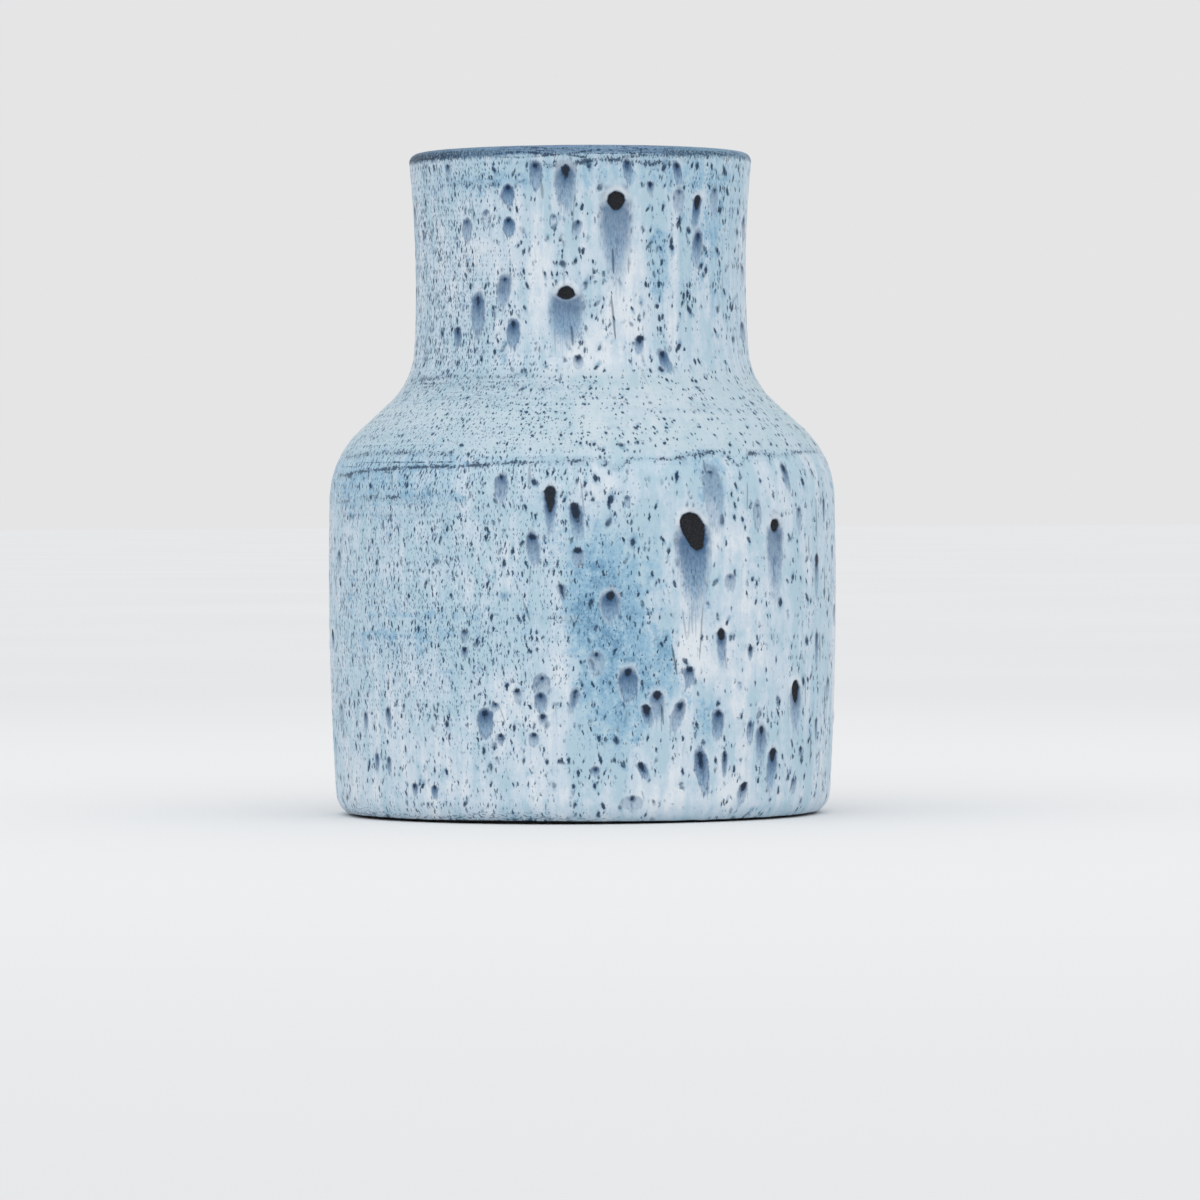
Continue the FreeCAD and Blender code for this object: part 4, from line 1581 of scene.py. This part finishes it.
def add_bump(s, height):
    """Relief too fine to model, from a height in millimetres."""
    bump = s.node("ShaderNodeBump")
    bump.inputs["Distance"].default_value = MM
    s.put(bump.inputs["Height"], height)
    s.tree.links.new(bump.outputs[0], s.surface.inputs["Normal"])


def clay_material():
    """Dark bare stoneware, with a fine grit."""
    s = Shader("bare stoneware")
    place = s.attribute("place")
    grit = s.noise(place, 0.6, 3.0)
    cloud = s.noise(place, 12.0, 2.0, 7.0)
    colour = s.mix((grit * 0.6 + cloud * 0.5).step(-0.6, 1.2), CLAY_DARK, CLAY_LIGHT)
    s.put(s.surface.inputs["Base Color"], colour)
    s.put(s.surface.inputs["Roughness"], 0.84 + grit * 0.05)
    add_bump(s, grit * 0.04)
    return s.material


# ---------------------------------------------------------------- stage

PAPER = shade(229, 229, 230)
CAMERA_PLACE = (0.0, -2.282, 0.1077)
CAMERA_DOWN = math.radians(0.797)
CAMERA_RIGHT = math.radians(0.157)
CAMERA_ROLL = math.radians(-0.26)
LENS = 192.0
SENSOR = 36.0
FLOOR_RADIUS = 40.0  # in metres, like the camera's place
FLOOR_SIDES = 96
FLOOR_LOW = shade(227, 228, 230)
FLOOR_HIGH = shade(230, 231, 233)
# Painted light for the floor round the vase, against its shadow.
FLOOR_PAINTED_LIGHT = shade(236, 237, 238)


def make_floor():
    """A plain pale floor, so wide that its far edge melts into the background, with painted light
    near the vase that thins its shadow.
    """
    turn = np.arange(FLOOR_SIDES) * 2 * math.pi / FLOOR_SIDES
    rim = np.stack([np.cos(turn), np.sin(turn), np.zeros(FLOOR_SIDES)], 1) * FLOOR_RADIUS
    mesh = make_mesh("floor", rim, [tuple(range(FLOOR_SIDES))])
    s = Shader("paper")
    place = Signal(s, s.node("ShaderNodeNewGeometry").outputs["Position"])
    cloud = s.noise(place, 0.7, 1.0)
    # Painted light: the floor is lighter round the vase, fading out by 1.6 m, which thins the
    # vase's shadow on it.
    near = s.vector("LENGTH", place, output="Value").step(1.6, 0.3)
    colour = s.mix(cloud.step(-1.5, 1.5), FLOOR_LOW, FLOOR_HIGH)
    s.put(s.surface.inputs["Base Color"], s.mix(near, colour, FLOOR_PAINTED_LIGHT))
    s.put(s.surface.inputs["Roughness"], 0.9)
    s.put(s.surface.inputs["Specular IOR Level"], 0.0)
    mesh.materials.append(s.material)
    floor = add_object("floor", mesh)


def make_world():
    world = bpy.data.worlds.new("studio")
    world.use_nodes = True
    background = world.node_tree.nodes["Background"]
    background.inputs["Color"].default_value = PAPER
    background.inputs["Strength"].default_value = 1.0
    bpy.context.scene.world = world


@dataclass
class Lamp:
    """A soft sun: where its light comes from, its strength, its spread and its colour."""

    name: str
    azimuth: float  # degrees round the vase from its front, rising to the right
    height: float  # degrees above the floor
    strength: float
    spread: float
    colour: tuple


LAMPS = (
    Lamp("key", -14.0, 58.0, 0.79, 100.0, (1.0, 1.0, 0.97)),
    Lamp("fill", 45.0, 30.0, 0.12, 100.0, (1.0, 0.99, 0.96)),
)


def add_lamp(lamp):
    data = bpy.data.lights.new(lamp.name, "SUN")
    data.energy = lamp.strength
    data.angle = math.radians(lamp.spread)
    data.color = lamp.colour
    tip = math.radians(90.0 - lamp.height)
    add_object(lamp.name, data).rotation_euler = (tip, 0.0, math.radians(lamp.azimuth))


def add_camera():
    data = bpy.data.cameras.new("camera")
    data.lens = LENS
    data.sensor_width = SENSOR
    camera = add_object("camera", data)
    camera.location = CAMERA_PLACE
    level = Euler((math.pi / 2 - CAMERA_DOWN, 0.0, -CAMERA_RIGHT)).to_quaternion()
    camera.rotation_mode = "QUATERNION"
    camera.rotation_quaternion = level @ Quaternion((0.0, 0.0, 1.0), CAMERA_ROLL)
    bpy.context.scene.camera = camera


def main():
    bpy.context.scene.view_settings.view_transform = "Standard"
    layers = all_marks()
    streaks = all_streaks()
    glaze = glaze_material()
    pieces = (
        (make_outer_glaze(layers, streaks), glaze, "outer_glaze", "outer_glaze"),
        (make_liner_glaze(layers, streaks), glaze, "liner_glaze", "liner_glaze"),
        (make_clay(), clay_material(), "clay_body", "bare_clay"),
    )
    for piece, material, node, slot in pieces:
        piece.data.materials.append(material)
        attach(piece, "root")
        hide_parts(node)
    make_floor()
    make_world()
    for lamp in LAMPS:
        add_lamp(lamp)
    add_camera()


main()
